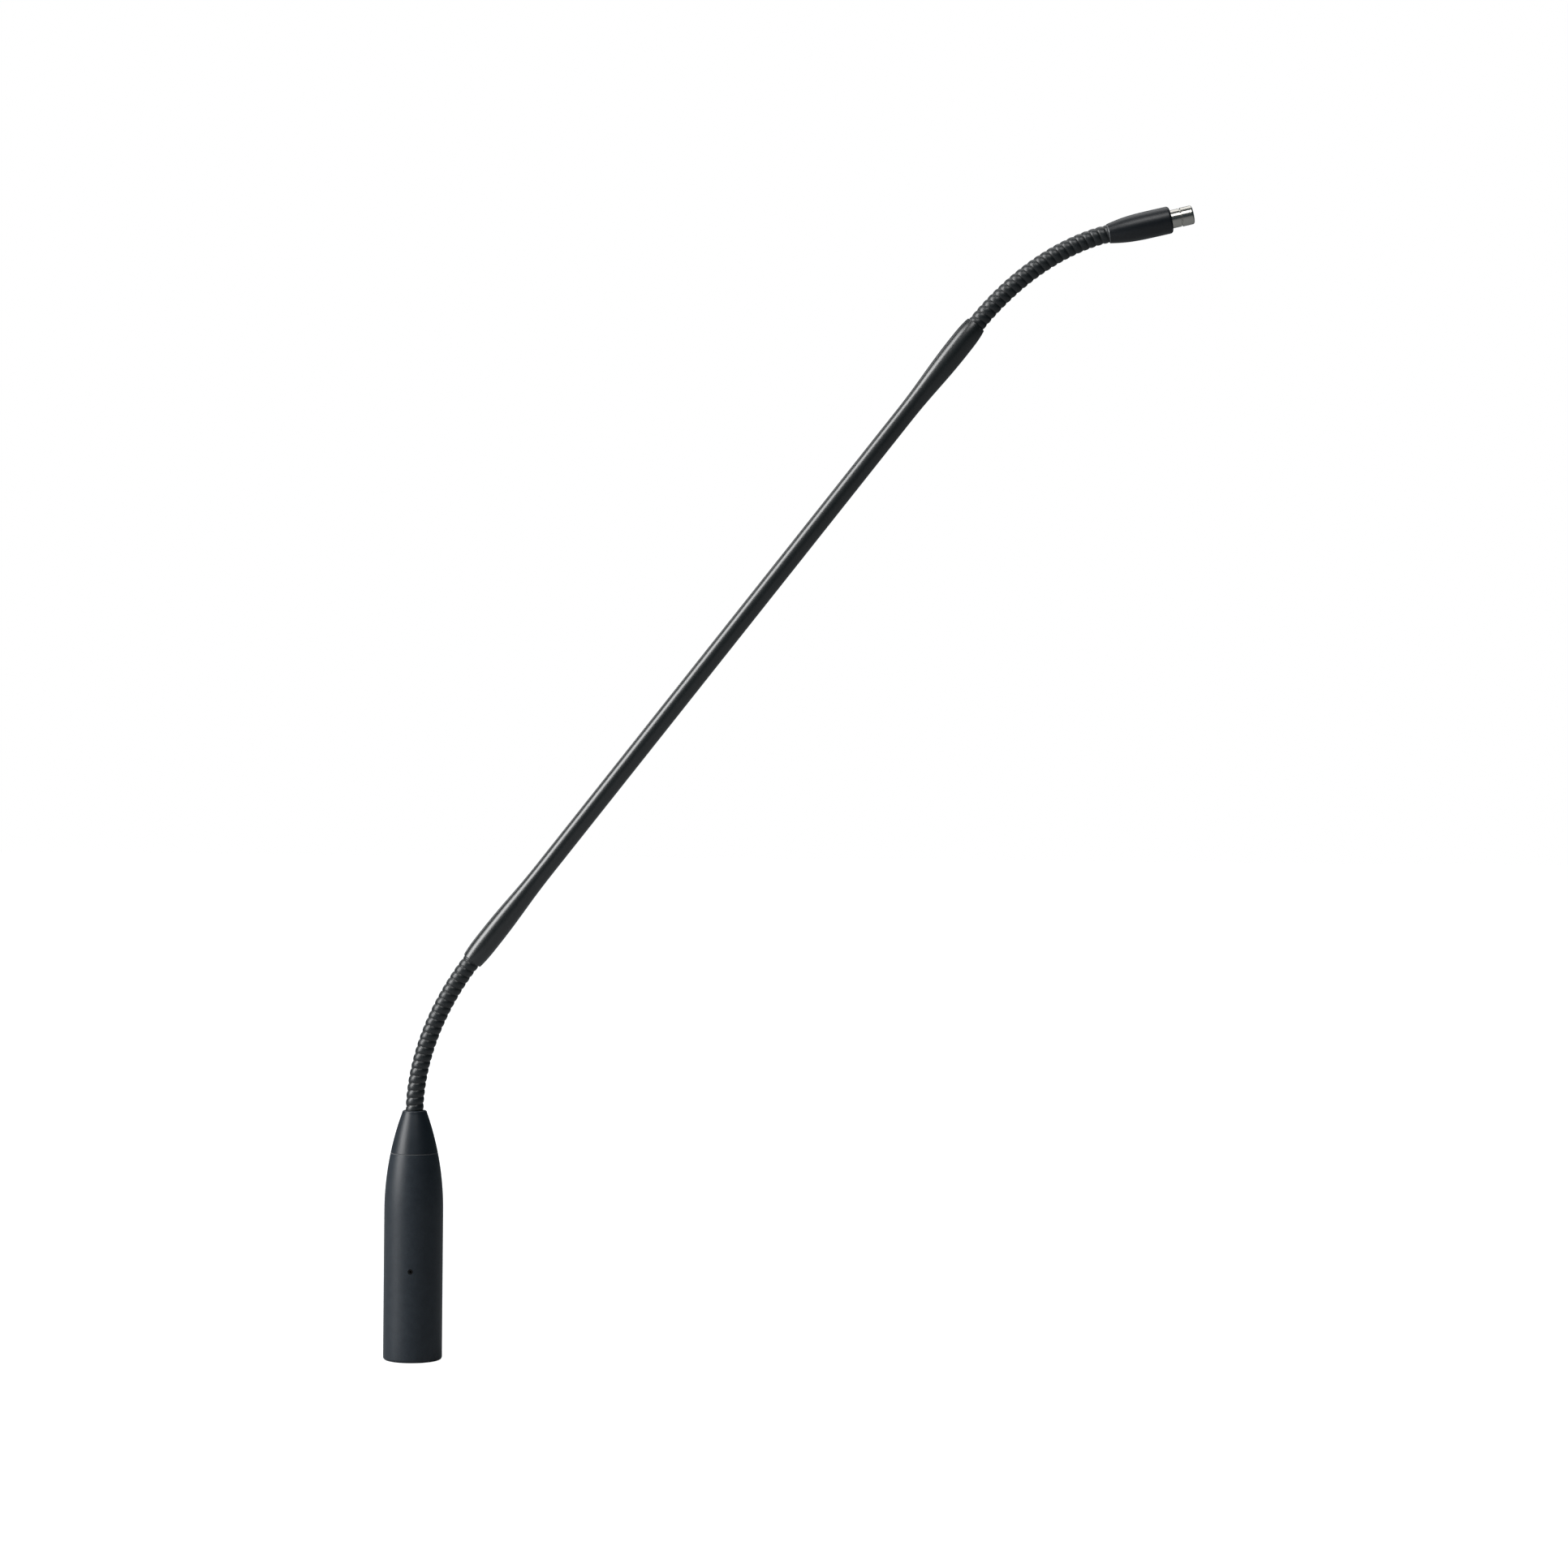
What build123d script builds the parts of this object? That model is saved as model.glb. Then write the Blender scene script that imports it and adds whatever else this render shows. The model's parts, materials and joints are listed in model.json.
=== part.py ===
from build123d import *
import os
from math import atan2, cos, pi, radians, sin, sqrt, tan

# Gooseneck podium microphone: a plug housing with a male XLR connector, a lower flexible section,
# a slim rigid stem, an upper flexible section, and a head holder with a small condenser capsule.
# Millimetres. +Z runs up the plug axis and the neck leans towards +X in the XZ plane. The origin is
# on the plug axis, where the full-diameter wall of the shell begins above its rounded rim.

# ---- driving dimensions ----
# plug housing
shell_radius = 9.5
shell_bore_radius = 8.0
rim_edge = 1.0
housing_height = 80.4
straight_wall_height = 48.0
seam_height = 66.7
nose_radius = 4.0
nose_edge = 0.7
thread_radius = 6.6
thread_bore_length = 15.5
mouth_radius = 3.15
cap_bore_radius = 5.0
cap_shoulder_drop = 10.4
cap_spigot_gap = 1.5
nut_length = 8.0
spanner_slot = 1.2
ferrule_inset = 1.5
clamp_length = 4.5
clamp_radius = 2.2
cable_tail = 0.5
# XLR contacts: two in a row and the third below them
pin_radius = 1.19
pin_spacing = 7.62
pin_row_offset = 2.03
third_pin_drop = 6.35
pin_recess = 1.6
pin_reach = 13.2
pin_tip_edge = 0.8
cup_radius = 1.5
cup_length = 3.4
cup_hole_radius = 1.0
cup_seat_depth = 1.5
cup_opening_rise = 1.2
insert_length = 16.5
face_recess_radius = 1.6
face_recess_depth = 1.0
key_width = 2.6
key_depth = 1.1
key_root = 0.6
key_end_gap = 1.0
window_width = 4.0
window_height = 3.4
window_rise = 5.2
window_corner = 0.5
# screw that locks the insert
lock_screw_height = 29.4
lock_screw_radius = 0.8
lock_screw_pin_gap = 0.94
lock_screw_sink = 0.1
lock_socket_radius = 0.42
lock_socket_depth = 1.0
# electronics
sleeve_wall = 0.6
sleeve_length = 18.0
spring_thickness = 0.3
spring_width = 2.0
spring_height = 2.2
spring_gap = 0.1
spring_notch_margin = 0.4
board_thickness = 1.2
board_length = 14.0
board_rise = 3.6
board_corner = 0.8
capacitor_radius = 1.9
capacitor_length = 6.4
capacitor_rise = 6.0
capacitor_gap = 0.3
chip_height = 0.6
main_chip_width = 2.2
main_chip_length = 3.4
main_chip_rise = 8.4
small_chip_width = 0.9
small_chip_length = 1.7
small_chip_spacing = 1.7
small_chip_rise = 3.2
small_chip_inset = 2.9
transistor_width = 3.0
transistor_depth = 2.0
transistor_height = 3.4
transistor_spacing = 6.4
transistor_rise = 3.0
transistor_edge = 0.9
choke_radius = 2.4
choke_bore_radius = 1.1
choke_height = 1.8
choke_rise = 10.0
choke_edge = 0.4
lead_radius = 0.34
lead_gap = 0.01
lead_bend_drop = 0.2
lead_bend_radius = 0.5
lead_landing_rise = 0.6
lead_landing_length = 1.7
core_offset = 0.5
core_run = 0.6
core_bend_radius = 0.3
core_knee_rise = 0.7
core_landing_length = 2.2
# flexible sections
flex_ridge_radius = 2.9
flex_groove_radius = 2.6
flex_bore_radius = 1.35
ball_radius = 1.95
ball_clearance = 0.05
ball_lip = 0.1
gap_half_angle = 9.6
turns_per_section = 22
lower_flex_length = 52.5
upper_flex_length = 52.6
lower_flex_bend = 37.9
upper_flex_bend = 38.8
end_turn_ratio = 1.4
lower_bend_lead = 0.2
upper_bend_lead = -0.3
# stem
stem_length = 262.0
stem_radius = 3.0
stem_bore_radius = 2.2
swell_length = 38.0
swell_crest = 9.0
lower_swell_radius = 3.75
upper_swell_radius = 3.85
lip_radius = 3.35
lip_edge = 0.4
stem_socket_radius = 2.7
stem_socket_depth = 14.0
stem_spigot_length = 10.0
# head
holder_length = 20.8
holder_rear_radius = 3.2
holder_rear_swell = 0.8
holder_radius = 4.4
holder_seat_length = 6.0
holder_face_width = 0.5
holder_rear_bore_depth = 9.0
capsule_radius = 3.05
capsule_length = 7.3
collar_radius = 2.95
collar_length = 3.0
collar_groove = 0.4
collar_stud_length = 7.0
collar_bore_radius = 2.2
collar_spigot_radius = 2.6
collar_spigot_length = 1.6
can_fit_gap = 0.02
can_wall = 0.4
can_edge = 0.6
sound_hole_radius = 0.32
sound_hole_circle = 1.45
circuit_thickness = 0.5
spacer_thickness = 0.1
film_thickness = 0.06
screen_thickness = 0.1
ring_thickness = 0.44
cup_wall = 0.35
plate_thickness = 0.4
fet_width = 1.9
fet_depth = 1.3
fet_height = 0.9
contact_radius = 0.4
contact_board_thickness = 0.8
# general
seat_clearance = 0.05
cable_radius = 1.1
cable_bend_share = 0.45
flange_thickness = 2.5

# ---- places that follow from the dimensions ----
rim_z = -rim_edge
nose_z = rim_z + housing_height
seam_z = rim_z + seam_height
wall_top_z = rim_z + straight_wall_height
shoulder_z = nose_z - cap_shoulder_drop
thread_bottom_z = seam_z - thread_bore_length
pin_tip_z = rim_z + pin_recess
insert_face_z = pin_tip_z + pin_reach
insert_top_z = insert_face_z + insert_length
cup_top_z = insert_top_z + cup_length
lock_screw_z = rim_z + lock_screw_height
insert_radius = shell_bore_radius - seat_clearance
third_pin_side = third_pin_drop - pin_row_offset + pin_radius
lock_screw_length = shell_radius - lock_screw_sink - third_pin_side - lock_screw_pin_gap
pin_places = [
    (pin_spacing / 2, pin_row_offset),
    (-pin_spacing / 2, pin_row_offset),
    (0, pin_row_offset - third_pin_drop),
]
cap_spigot_z = thread_bottom_z + cap_spigot_gap
ferrule_radius = mouth_radius - seat_clearance
flange_z = shoulder_z - flange_thickness
nut_z = flange_z - nut_length
ferrule_bottom_z = nut_z + ferrule_inset
cable_start_z = ferrule_bottom_z - clamp_length - cable_tail
board_z = insert_top_z + board_rise
board_top_z = board_z + board_length
sleeve_radius = insert_radius
sleeve_bore_radius = sleeve_radius - sleeve_wall
board_half_width = sqrt((sleeve_bore_radius - seat_clearance) ** 2 - (board_thickness / 2) ** 2)
board_face = board_thickness / 2

# The nose is an ogive: one arc, tangent to the straight wall and passing through the nose shoulder.
nose_shoulder_z = nose_z - nose_edge
ogive_rise = nose_shoulder_z - wall_top_z
ogive_inset = shell_radius - nose_radius
ogive_radius = (ogive_rise**2 + ogive_inset**2) / (2 * ogive_inset)


def ogive(height):
    """Outer radius of the housing at a height on the ogive."""
    return shell_radius - ogive_radius + sqrt(ogive_radius**2 - (height - wall_top_z) ** 2)


# A turn's crest is an arc from groove to groove. At a pivot it is cut back by a cone, so that two
# neighbouring links can tilt by twice the cone's angle before their rims meet.
lower_pitch = lower_flex_length / turns_per_section
upper_pitch = upper_flex_length / turns_per_section
socket_radius = ball_radius + ball_clearance
socket_depth = sqrt(socket_radius**2 - flex_bore_radius**2)
ball_face_radius = flex_bore_radius + ball_lip
ball_rise = sqrt(ball_radius**2 - ball_face_radius**2)
cone_cos = cos(radians(gap_half_angle))
cone_sin = sin(radians(gap_half_angle))


def rim_point(pitch):
    """Where the cone at a pivot meets the crest of the turn beside it, as (radius, height)."""
    slope = tan(radians(gap_half_angle))
    rise = flex_ridge_radius - flex_groove_radius
    crest = ((pitch / 2) ** 2 + rise**2) / (2 * rise)
    centre = flex_ridge_radius - crest
    a = 1 + slope**2
    b = -2 * (centre + slope * pitch / 2)
    c = centre**2 + (pitch / 2) ** 2 - crest**2
    radius = (-b + sqrt(b * b - 4 * a * c)) / (2 * a)
    return radius, radius * slope


def station(point, tilt):
    """Plane in the neck's plane: its Y runs along the neck and its X points to the outer side."""
    side = Vector(cos(radians(tilt)), 0, -sin(radians(tilt)))
    ahead = Vector(sin(radians(tilt)), 0, cos(radians(tilt)))
    return Plane(origin=point, x_dir=side, z_dir=side.cross(ahead))


def along(plane, distance):
    """Point on a station's axis."""
    return plane.origin + plane.y_dir * distance


def across(plane, distance):
    """Plane square to a station's axis, at a distance along it."""
    return Plane(origin=along(plane, distance), x_dir=plane.x_dir, z_dir=plane.y_dir)


def centre_line(plane):
    """Axis that a station's profile is turned about."""
    return Axis(plane.origin, plane.y_dir)


def pivots(start, tilt, pitch, total_bend, lead):
    """Stations at the pivots of a flexible section: each has its pivot as origin and the next
    link's direction as Y. Pivots are two turns apart, and the first and last bend a little more.
    The lead is how much more than the average the first half bends than the second."""
    count = turns_per_section // 2
    middle = count // 2
    shares = [1 + lead * (middle - number) / middle for number in range(count)]
    shares[0] *= end_turn_ratio
    shares[-1] *= end_turn_ratio
    point = start + station(start, tilt).y_dir * pitch
    found = []
    for share in shares:
        tilt += total_bend * share / sum(shares)
        found.append(station(point, tilt))
        point = along(found[-1], 2 * pitch)
    return found


lower_pivots = pivots(Vector(0, 0, nose_z), 0, lower_pitch, lower_flex_bend, lower_bend_lead)
stem_tilt = lower_flex_bend
stem = station(along(lower_pivots[-1], lower_pitch), stem_tilt)
stem_end = along(stem, stem_length)
upper_pivots = pivots(stem_end, stem_tilt, upper_pitch, upper_flex_bend, upper_bend_lead)
head_tilt = stem_tilt + upper_flex_bend
head = station(along(upper_pivots[-1], upper_pitch), head_tilt)
tip = station(along(head, holder_length), head_tilt)


# ---- profile pieces shared by the links and their end ferrules ----
def ball_lines(height, pitch):
    """From the rim below a pivot, over the ball, to the bore."""
    rim_radius, rim_height = rim_point(pitch)
    foot = (ball_radius * cone_cos, height - ball_radius * cone_sin)
    face = (ball_face_radius, height + ball_rise)
    Line((rim_radius, height - rim_height), foot)
    ThreePointArc(foot, (ball_radius, height), face)
    Line(face, (flex_bore_radius, height + ball_rise))


def socket_lines(height, pitch):
    """From the bore, round the socket, to the rim above a pivot."""
    rim_radius, rim_height = rim_point(pitch)
    middle = (atan2(socket_depth, flex_bore_radius) + radians(gap_half_angle)) / 2
    mouth = (socket_radius * cone_cos, height + socket_radius * cone_sin)
    ThreePointArc(
        (flex_bore_radius, height + socket_depth),
        (socket_radius * cos(middle), height + socket_radius * sin(middle)),
        mouth,
    )
    Line(mouth, (rim_radius, height + rim_height))


def flex_link(plane, pitch):
    """A link of two turns: a socket at its own pivot and a ball at the next one."""
    rim_radius, rim_height = rim_point(pitch)
    reach = 2 * pitch
    waist = (flex_groove_radius, pitch)
    with BuildPart() as link:
        with BuildSketch(plane):
            with BuildLine():
                socket_lines(0, pitch)
                ThreePointArc((rim_radius, rim_height), (flex_ridge_radius, pitch / 2), waist)
                ThreePointArc(waist, (flex_ridge_radius, 1.5 * pitch), (rim_radius, reach - rim_height))
                ball_lines(reach, pitch)
                Line((flex_bore_radius, reach + ball_rise), (flex_bore_radius, socket_depth))
            make_face()
        revolve(axis=centre_line(plane))
    return link.part


def ball_ferrule(plane, pitch, outline):
    """An end ferrule with a ball at the station's origin. The outline runs from the bore at its
    far end up to the groove under its one visible turn."""
    rim_radius, rim_height = rim_point(pitch)
    with BuildPart() as ferrule:
        with BuildSketch(plane):
            with BuildLine():
                Polyline(*outline)
                ThreePointArc(outline[-1], (flex_ridge_radius, -pitch / 2), (rim_radius, -rim_height))
                ball_lines(0, pitch)
                Line((flex_bore_radius, ball_rise), outline[0])
            make_face()
        revolve(axis=centre_line(plane))
    return ferrule.part


def socket_ferrule(plane, pitch, outline):
    """An end ferrule with a socket at the station's origin. The outline runs from the groove above
    its one visible turn to the bore at its far end."""
    rim_radius, rim_height = rim_point(pitch)
    with BuildPart() as ferrule:
        with BuildSketch(plane):
            with BuildLine():
                socket_lines(0, pitch)
                ThreePointArc((rim_radius, rim_height), (flex_ridge_radius, pitch / 2), outline[0])
                Polyline(*outline)
                Line(outline[-1], (flex_bore_radius, socket_depth))
            make_face()
        revolve(axis=centre_line(plane))
    return ferrule.part


def save(part, label):
    """Label a finished piece and write its file."""
    part.label = label
    export_step(part, f"parts/{label}.step")


os.makedirs("parts", exist_ok=True)

# ---- plug housing ----
with BuildPart() as plug_housing:
    with BuildSketch(Plane.XZ):
        with BuildLine():
            Line((shell_bore_radius, rim_z), (shell_radius - rim_edge, rim_z))
            RadiusArc((shell_radius - rim_edge, rim_z), (shell_radius, 0), -rim_edge)
            Line((shell_radius, 0), (shell_radius, wall_top_z))
            RadiusArc((shell_radius, wall_top_z), (ogive(seam_z), seam_z), -ogive_radius)
            Polyline(
                (ogive(seam_z), seam_z),
                (thread_radius, seam_z),
                (thread_radius, thread_bottom_z),
                (shell_bore_radius, thread_bottom_z),
                (shell_bore_radius, rim_z),
            )
        make_face()
    revolve()
    # key rib for the socket's keyway, inside the shell between the two upper contacts
    with BuildSketch(Plane.XY.offset(rim_z + rim_edge)) as key:
        with Locations((0, shell_bore_radius - key_depth / 2 + key_root / 2)):
            Rectangle(key_width, key_depth + key_root)
    extrude(amount=insert_face_z - key_end_gap - rim_z - rim_edge)
    # window that the socket's latch drops into
    with BuildSketch(Plane.XZ.offset(-shell_bore_radius + key_depth)):
        with Locations((0, window_rise)):
            RectangleRounded(window_width, window_height, window_corner)
    extrude(amount=-shell_radius, mode=Mode.SUBTRACT)
    # hole for the lock screw
    with BuildSketch(Plane.XZ.offset(shell_bore_radius - key_depth)):
        with Locations((0, lock_screw_z)):
            Circle(lock_screw_radius + seat_clearance)
    extrude(amount=shell_radius, mode=Mode.SUBTRACT)
save(plug_housing.part, "plug_housing")

# ---- nose cap, screwed into the housing ----
cap_spigot_radius = thread_radius - seat_clearance
with BuildPart() as nose_cap:
    with BuildSketch(Plane.XZ):
        with BuildLine():
            Polyline(
                (cap_bore_radius, cap_spigot_z),
                (cap_spigot_radius, cap_spigot_z),
                (cap_spigot_radius, seam_z),
                (ogive(seam_z), seam_z),
            )
            RadiusArc((ogive(seam_z), seam_z), (nose_radius, nose_shoulder_z), -ogive_radius)
            RadiusArc((nose_radius, nose_shoulder_z), (nose_radius - nose_edge, nose_z), -nose_edge)
            Polyline(
                (nose_radius - nose_edge, nose_z),
                (mouth_radius, nose_z),
                (mouth_radius, shoulder_z),
                (cap_bore_radius, shoulder_z),
                (cap_bore_radius, cap_spigot_z),
            )
        make_face()
    revolve()
save(nose_cap.part, "nose_cap")

# ---- ferrule that anchors the lower flexible section, and its ring nut ----
flange_radius = cap_bore_radius - seat_clearance
first_pivot_z = nose_z + lower_pitch
lower_anchor = station(Vector(0, 0, first_pivot_z), 0)
lower_flex_ferrule = ball_ferrule(
    lower_anchor,
    lower_pitch,
    [
        (flex_bore_radius, ferrule_bottom_z - first_pivot_z),
        (ferrule_radius, ferrule_bottom_z - first_pivot_z),
        (ferrule_radius, flange_z - first_pivot_z),
        (flange_radius, flange_z - first_pivot_z),
        (flange_radius, shoulder_z - first_pivot_z),
        (ferrule_radius, shoulder_z - first_pivot_z),
        (ferrule_radius, -lower_pitch - seat_clearance),
        (flex_groove_radius, -lower_pitch),
    ],
)
save(lower_flex_ferrule, "lower_flex_ferrule")

with BuildPart() as flex_ring_nut:
    with BuildSketch(Plane.XY.offset(nut_z)):
        Circle(flange_radius)
        Circle(mouth_radius, mode=Mode.SUBTRACT)
    extrude(amount=nut_length)
    # spanner slots across the lower face
    with BuildSketch(Plane.XY.offset(nut_z)):
        Rectangle(2 * cap_bore_radius, spanner_slot)
    extrude(amount=spanner_slot, mode=Mode.SUBTRACT)
save(flex_ring_nut.part, "flex_ring_nut")

# ---- XLR insert and contacts ----
with BuildPart() as xlr_insert:
    with BuildSketch(Plane.XY.offset(insert_face_z)):
        Circle(insert_radius)
        with Locations(*pin_places):
            Circle(pin_radius + seat_clearance / 2, mode=Mode.SUBTRACT)
    extrude(amount=insert_length)
    # counterbores for the solder cups
    with BuildSketch(Plane.XY.offset(insert_top_z - cup_seat_depth)):
        with Locations(*pin_places):
            Circle(cup_radius + seat_clearance)
    extrude(amount=cup_seat_depth, mode=Mode.SUBTRACT)
    # recessed face between the contacts
    with BuildSketch(Plane.XY.offset(insert_face_z)):
        Circle(face_recess_radius)
    extrude(amount=face_recess_depth, mode=Mode.SUBTRACT)
    # blind hole for the lock screw's point
    with BuildSketch(Plane.XZ.offset(shell_radius - lock_screw_sink - lock_screw_length)):
        with Locations((0, lock_screw_z)):
            Circle(lock_screw_radius + seat_clearance)
    extrude(amount=shell_radius, mode=Mode.SUBTRACT)
save(xlr_insert.part, "xlr_insert")

for number, place in enumerate(pin_places, start=1):
    with BuildPart() as contact_pin:
        with BuildSketch(Plane.XY.offset(pin_tip_z)):
            with Locations(place):
                Circle(pin_radius)
        extrude(amount=insert_top_z - cup_seat_depth - pin_tip_z)
        fillet(contact_pin.edges().group_by(Axis.Z)[0], pin_tip_edge)
        with BuildSketch(Plane.XY.offset(insert_top_z - cup_seat_depth)):
            with Locations(place):
                Circle(cup_radius)
        extrude(amount=cup_length + cup_seat_depth)
        # solder cup: a blind hole, open on the side that faces the board
        with BuildSketch(Plane.XY.offset(insert_top_z)):
            with Locations(place):
                Circle(cup_hole_radius)
        extrude(amount=cup_length, mode=Mode.SUBTRACT)
        with BuildSketch(Plane.XY.offset(insert_top_z + cup_opening_rise)):
            with Locations((place[0], place[1] - cup_radius if place[1] > 0 else place[1] + cup_radius)):
                Rectangle(3 * cup_radius, 1.6 * cup_radius)
        extrude(amount=cup_length, mode=Mode.SUBTRACT)
    save(contact_pin.part, f"contact_pin_{number}")

# ---- ground spring: joins the first contact's side of the insert to the shell ----
spring_inner = pin_places[0][0] + cup_radius + spring_gap
spring_outer = sqrt(insert_radius**2 - (pin_row_offset + spring_width / 2) ** 2)
with BuildPart() as ground_spring:
    with BuildSketch(Plane.XY.offset(insert_top_z)):
        with Locations(((spring_inner + spring_outer) / 2, pin_row_offset)):
            Rectangle(spring_outer - spring_inner, spring_width)
    extrude(amount=spring_thickness)
    with BuildSketch(Plane.XY.offset(insert_top_z)):
        with Locations((spring_inner + spring_thickness / 2, pin_row_offset)):
            Rectangle(spring_thickness, spring_width)
    extrude(amount=spring_height)
save(ground_spring.part, "ground_spring")

# ---- lock screw ----
with BuildPart() as lock_screw:
    with BuildSketch(Plane.XZ.offset(shell_radius - lock_screw_sink)):
        with Locations((0, lock_screw_z)):
            Circle(lock_screw_radius)
    extrude(amount=-lock_screw_length + seat_clearance)
    with BuildSketch(Plane.XZ.offset(shell_radius - lock_screw_sink)):
        with Locations((0, lock_screw_z)):
            RegularPolygon(lock_socket_radius, 6)
    extrude(amount=-lock_socket_depth, mode=Mode.SUBTRACT)
save(lock_screw.part, "lock_screw")

# ---- insulating sleeve round the electronics ----
with BuildPart() as board_sleeve:
    with BuildSketch(Plane.XY.offset(insert_top_z)):
        Circle(sleeve_radius)
        Circle(sleeve_bore_radius, mode=Mode.SUBTRACT)
    extrude(amount=sleeve_length)
    # notch that the ground spring passes through
    with BuildSketch(Plane.XY.offset(insert_top_z)):
        with Locations((0, pin_row_offset)):
            Rectangle(
                sleeve_radius, spring_width + spring_notch_margin, align=(Align.MIN, Align.CENTER)
            )
    extrude(amount=spring_height + spring_thickness, mode=Mode.SUBTRACT)
save(board_sleeve.part, "board_sleeve")

# ---- preamplifier board and what is soldered to it ----
with BuildPart() as preamp_board:
    with BuildSketch(Plane.XZ.offset(-board_face)):
        with Locations((0, board_z + board_length / 2)):
            RectangleRounded(2 * board_half_width, board_length, board_corner)
    extrude(amount=board_thickness)
save(preamp_board.part, "preamp_board")

capacitor_y = -board_face - capacitor_radius
capacitor_reach = sleeve_bore_radius - capacitor_radius - capacitor_gap
capacitor_x = sqrt(capacitor_reach**2 - capacitor_y**2)
with BuildPart() as board_capacitors:
    with BuildSketch(Plane.XY.offset(board_z + capacitor_rise)):
        with Locations((-capacitor_x, capacitor_y), (capacitor_x, capacitor_y)):
            Circle(capacitor_radius)
    extrude(amount=capacitor_length)
save(board_capacitors.part, "board_capacitors")

chip_row_x = board_half_width - small_chip_inset
chip_row_z = board_z + small_chip_rise
with BuildPart() as board_chips:
    with BuildSketch(Plane.XZ.offset(board_face)):
        with Locations((0, board_z + main_chip_rise)):
            Rectangle(main_chip_width, main_chip_length)
        with Locations((-chip_row_x, chip_row_z), (chip_row_x, chip_row_z)):
            with GridLocations(small_chip_spacing, 0, 3, 1):
                Rectangle(small_chip_width, small_chip_length)
    extrude(amount=chip_height)
save(board_chips.part, "board_chips")

with BuildPart() as output_transistors:
    with BuildSketch(Plane.XY.offset(board_z + transistor_rise)):
        with GridLocations(transistor_spacing, 0, 2, 1):
            with Locations((0, board_face + transistor_depth / 2)):
                Rectangle(transistor_width, transistor_depth)
    extrude(amount=transistor_height)
    fillet(output_transistors.edges().filter_by(Axis.Z).group_by(Axis.Y)[-1], transistor_edge)
save(output_transistors.part, "output_transistors")

with BuildPart() as rf_choke:
    with BuildSketch(Plane.XZ.offset(-board_face)):
        with Locations((0, board_z + choke_rise)):
            Circle(choke_radius)
            Circle(choke_bore_radius, mode=Mode.SUBTRACT)
    extrude(amount=-choke_height)
    fillet(rf_choke.edges().group_by(Axis.Y)[-1], choke_edge)
save(rf_choke.part, "rf_choke")

# one lead from each solder cup to the board
lead_face = board_face + lead_radius + lead_gap
with BuildPart() as pin_leads:
    for place in pin_places:
        side = 1 if place[1] > 0 else -1
        foot = Vector(place[0], place[1], insert_top_z)
        bend = Vector(place[0], place[1], cup_top_z - lead_bend_drop)
        landing = Vector(place[0], side * lead_face, board_z + lead_landing_rise)
        end = landing + Vector(0, 0, lead_landing_length)
        with BuildLine() as route:
            FilletPolyline(foot, bend, landing, end, radius=lead_bend_radius)
        with BuildSketch(Plane(origin=foot, z_dir=(0, 0, 1))):
            Circle(lead_radius)
        sweep(path=route.wires()[0])
save(pin_leads.part, "pin_leads")

# two cores from the cable's end to the board's upper edge
with BuildPart() as cable_cores:
    for offset in (-core_offset, core_offset):
        start = Vector(offset, 0, cable_start_z)
        knee = Vector(offset, -lead_face, board_top_z + core_knee_rise)
        end = knee - Vector(0, 0, core_landing_length)
        with BuildLine() as route:
            FilletPolyline(start, start - Vector(0, 0, core_run), knee, end, radius=core_bend_radius)
        with BuildSketch(Plane(origin=start, z_dir=(0, 0, -1))):
            Circle(lead_radius)
        sweep(path=route.wires()[0])
save(cable_cores.part, "cable_cores")

# ---- crimped clamp that takes the cable's pull ----
with BuildPart() as cable_clamp:
    with BuildSketch(Plane.XY.offset(ferrule_bottom_z - clamp_length)):
        RegularPolygon(clamp_radius, 6)
        Circle(cable_radius + seat_clearance / 2, mode=Mode.SUBTRACT)
    extrude(amount=clamp_length)
save(cable_clamp.part, "cable_clamp")

# ---- flexible sections ----
for section, stations, pitch in (
    ("lower", lower_pivots, lower_pitch),
    ("upper", upper_pivots, upper_pitch),
):
    for number, plane in enumerate(stations[:-1], start=1):
        save(flex_link(plane, pitch), f"{section}_flex_link_{number:02d}")

# ---- stem ----
with BuildPart() as stem_tube:
    with BuildSketch(stem):
        with BuildLine():
            lower_lip = (lip_radius, lip_edge)
            lower_crest = (lower_swell_radius, swell_crest)
            lower_foot = (stem_radius, swell_length)
            upper_foot = (stem_radius, stem_length - swell_length)
            upper_crest = (upper_swell_radius, stem_length - swell_crest)
            upper_lip = (lip_radius, stem_length - lip_edge)
            ease = swell_length / 3
            Line((stem_socket_radius, 0), (lip_radius - lip_edge, 0))
            RadiusArc((lip_radius - lip_edge, 0), lower_lip, -lip_edge)
            Bezier(
                lower_lip,
                (lower_swell_radius, swell_crest / 3),
                (lower_swell_radius, swell_crest * 2 / 3),
                lower_crest,
            )
            Bezier(
                lower_crest,
                (lower_swell_radius, swell_crest + ease),
                (stem_radius, swell_length - ease),
                lower_foot,
            )
            Line(lower_foot, upper_foot)
            Bezier(
                upper_foot,
                (stem_radius, stem_length - swell_length + ease),
                (upper_swell_radius, stem_length - swell_crest - ease),
                upper_crest,
            )
            Bezier(
                upper_crest,
                (upper_swell_radius, stem_length - swell_crest * 2 / 3),
                (upper_swell_radius, stem_length - swell_crest / 3),
                upper_lip,
            )
            RadiusArc(upper_lip, (lip_radius - lip_edge, stem_length), -lip_edge)
            Polyline(
                (lip_radius - lip_edge, stem_length),
                (stem_socket_radius, stem_length),
                (stem_socket_radius, stem_length - stem_socket_depth),
                (stem_bore_radius, stem_length - stem_socket_depth),
                (stem_bore_radius, stem_socket_depth),
                (stem_socket_radius, stem_socket_depth),
                (stem_socket_radius, 0),
            )
        make_face()
    revolve(axis=centre_line(stem))
save(stem_tube.part, "stem_tube")

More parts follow.
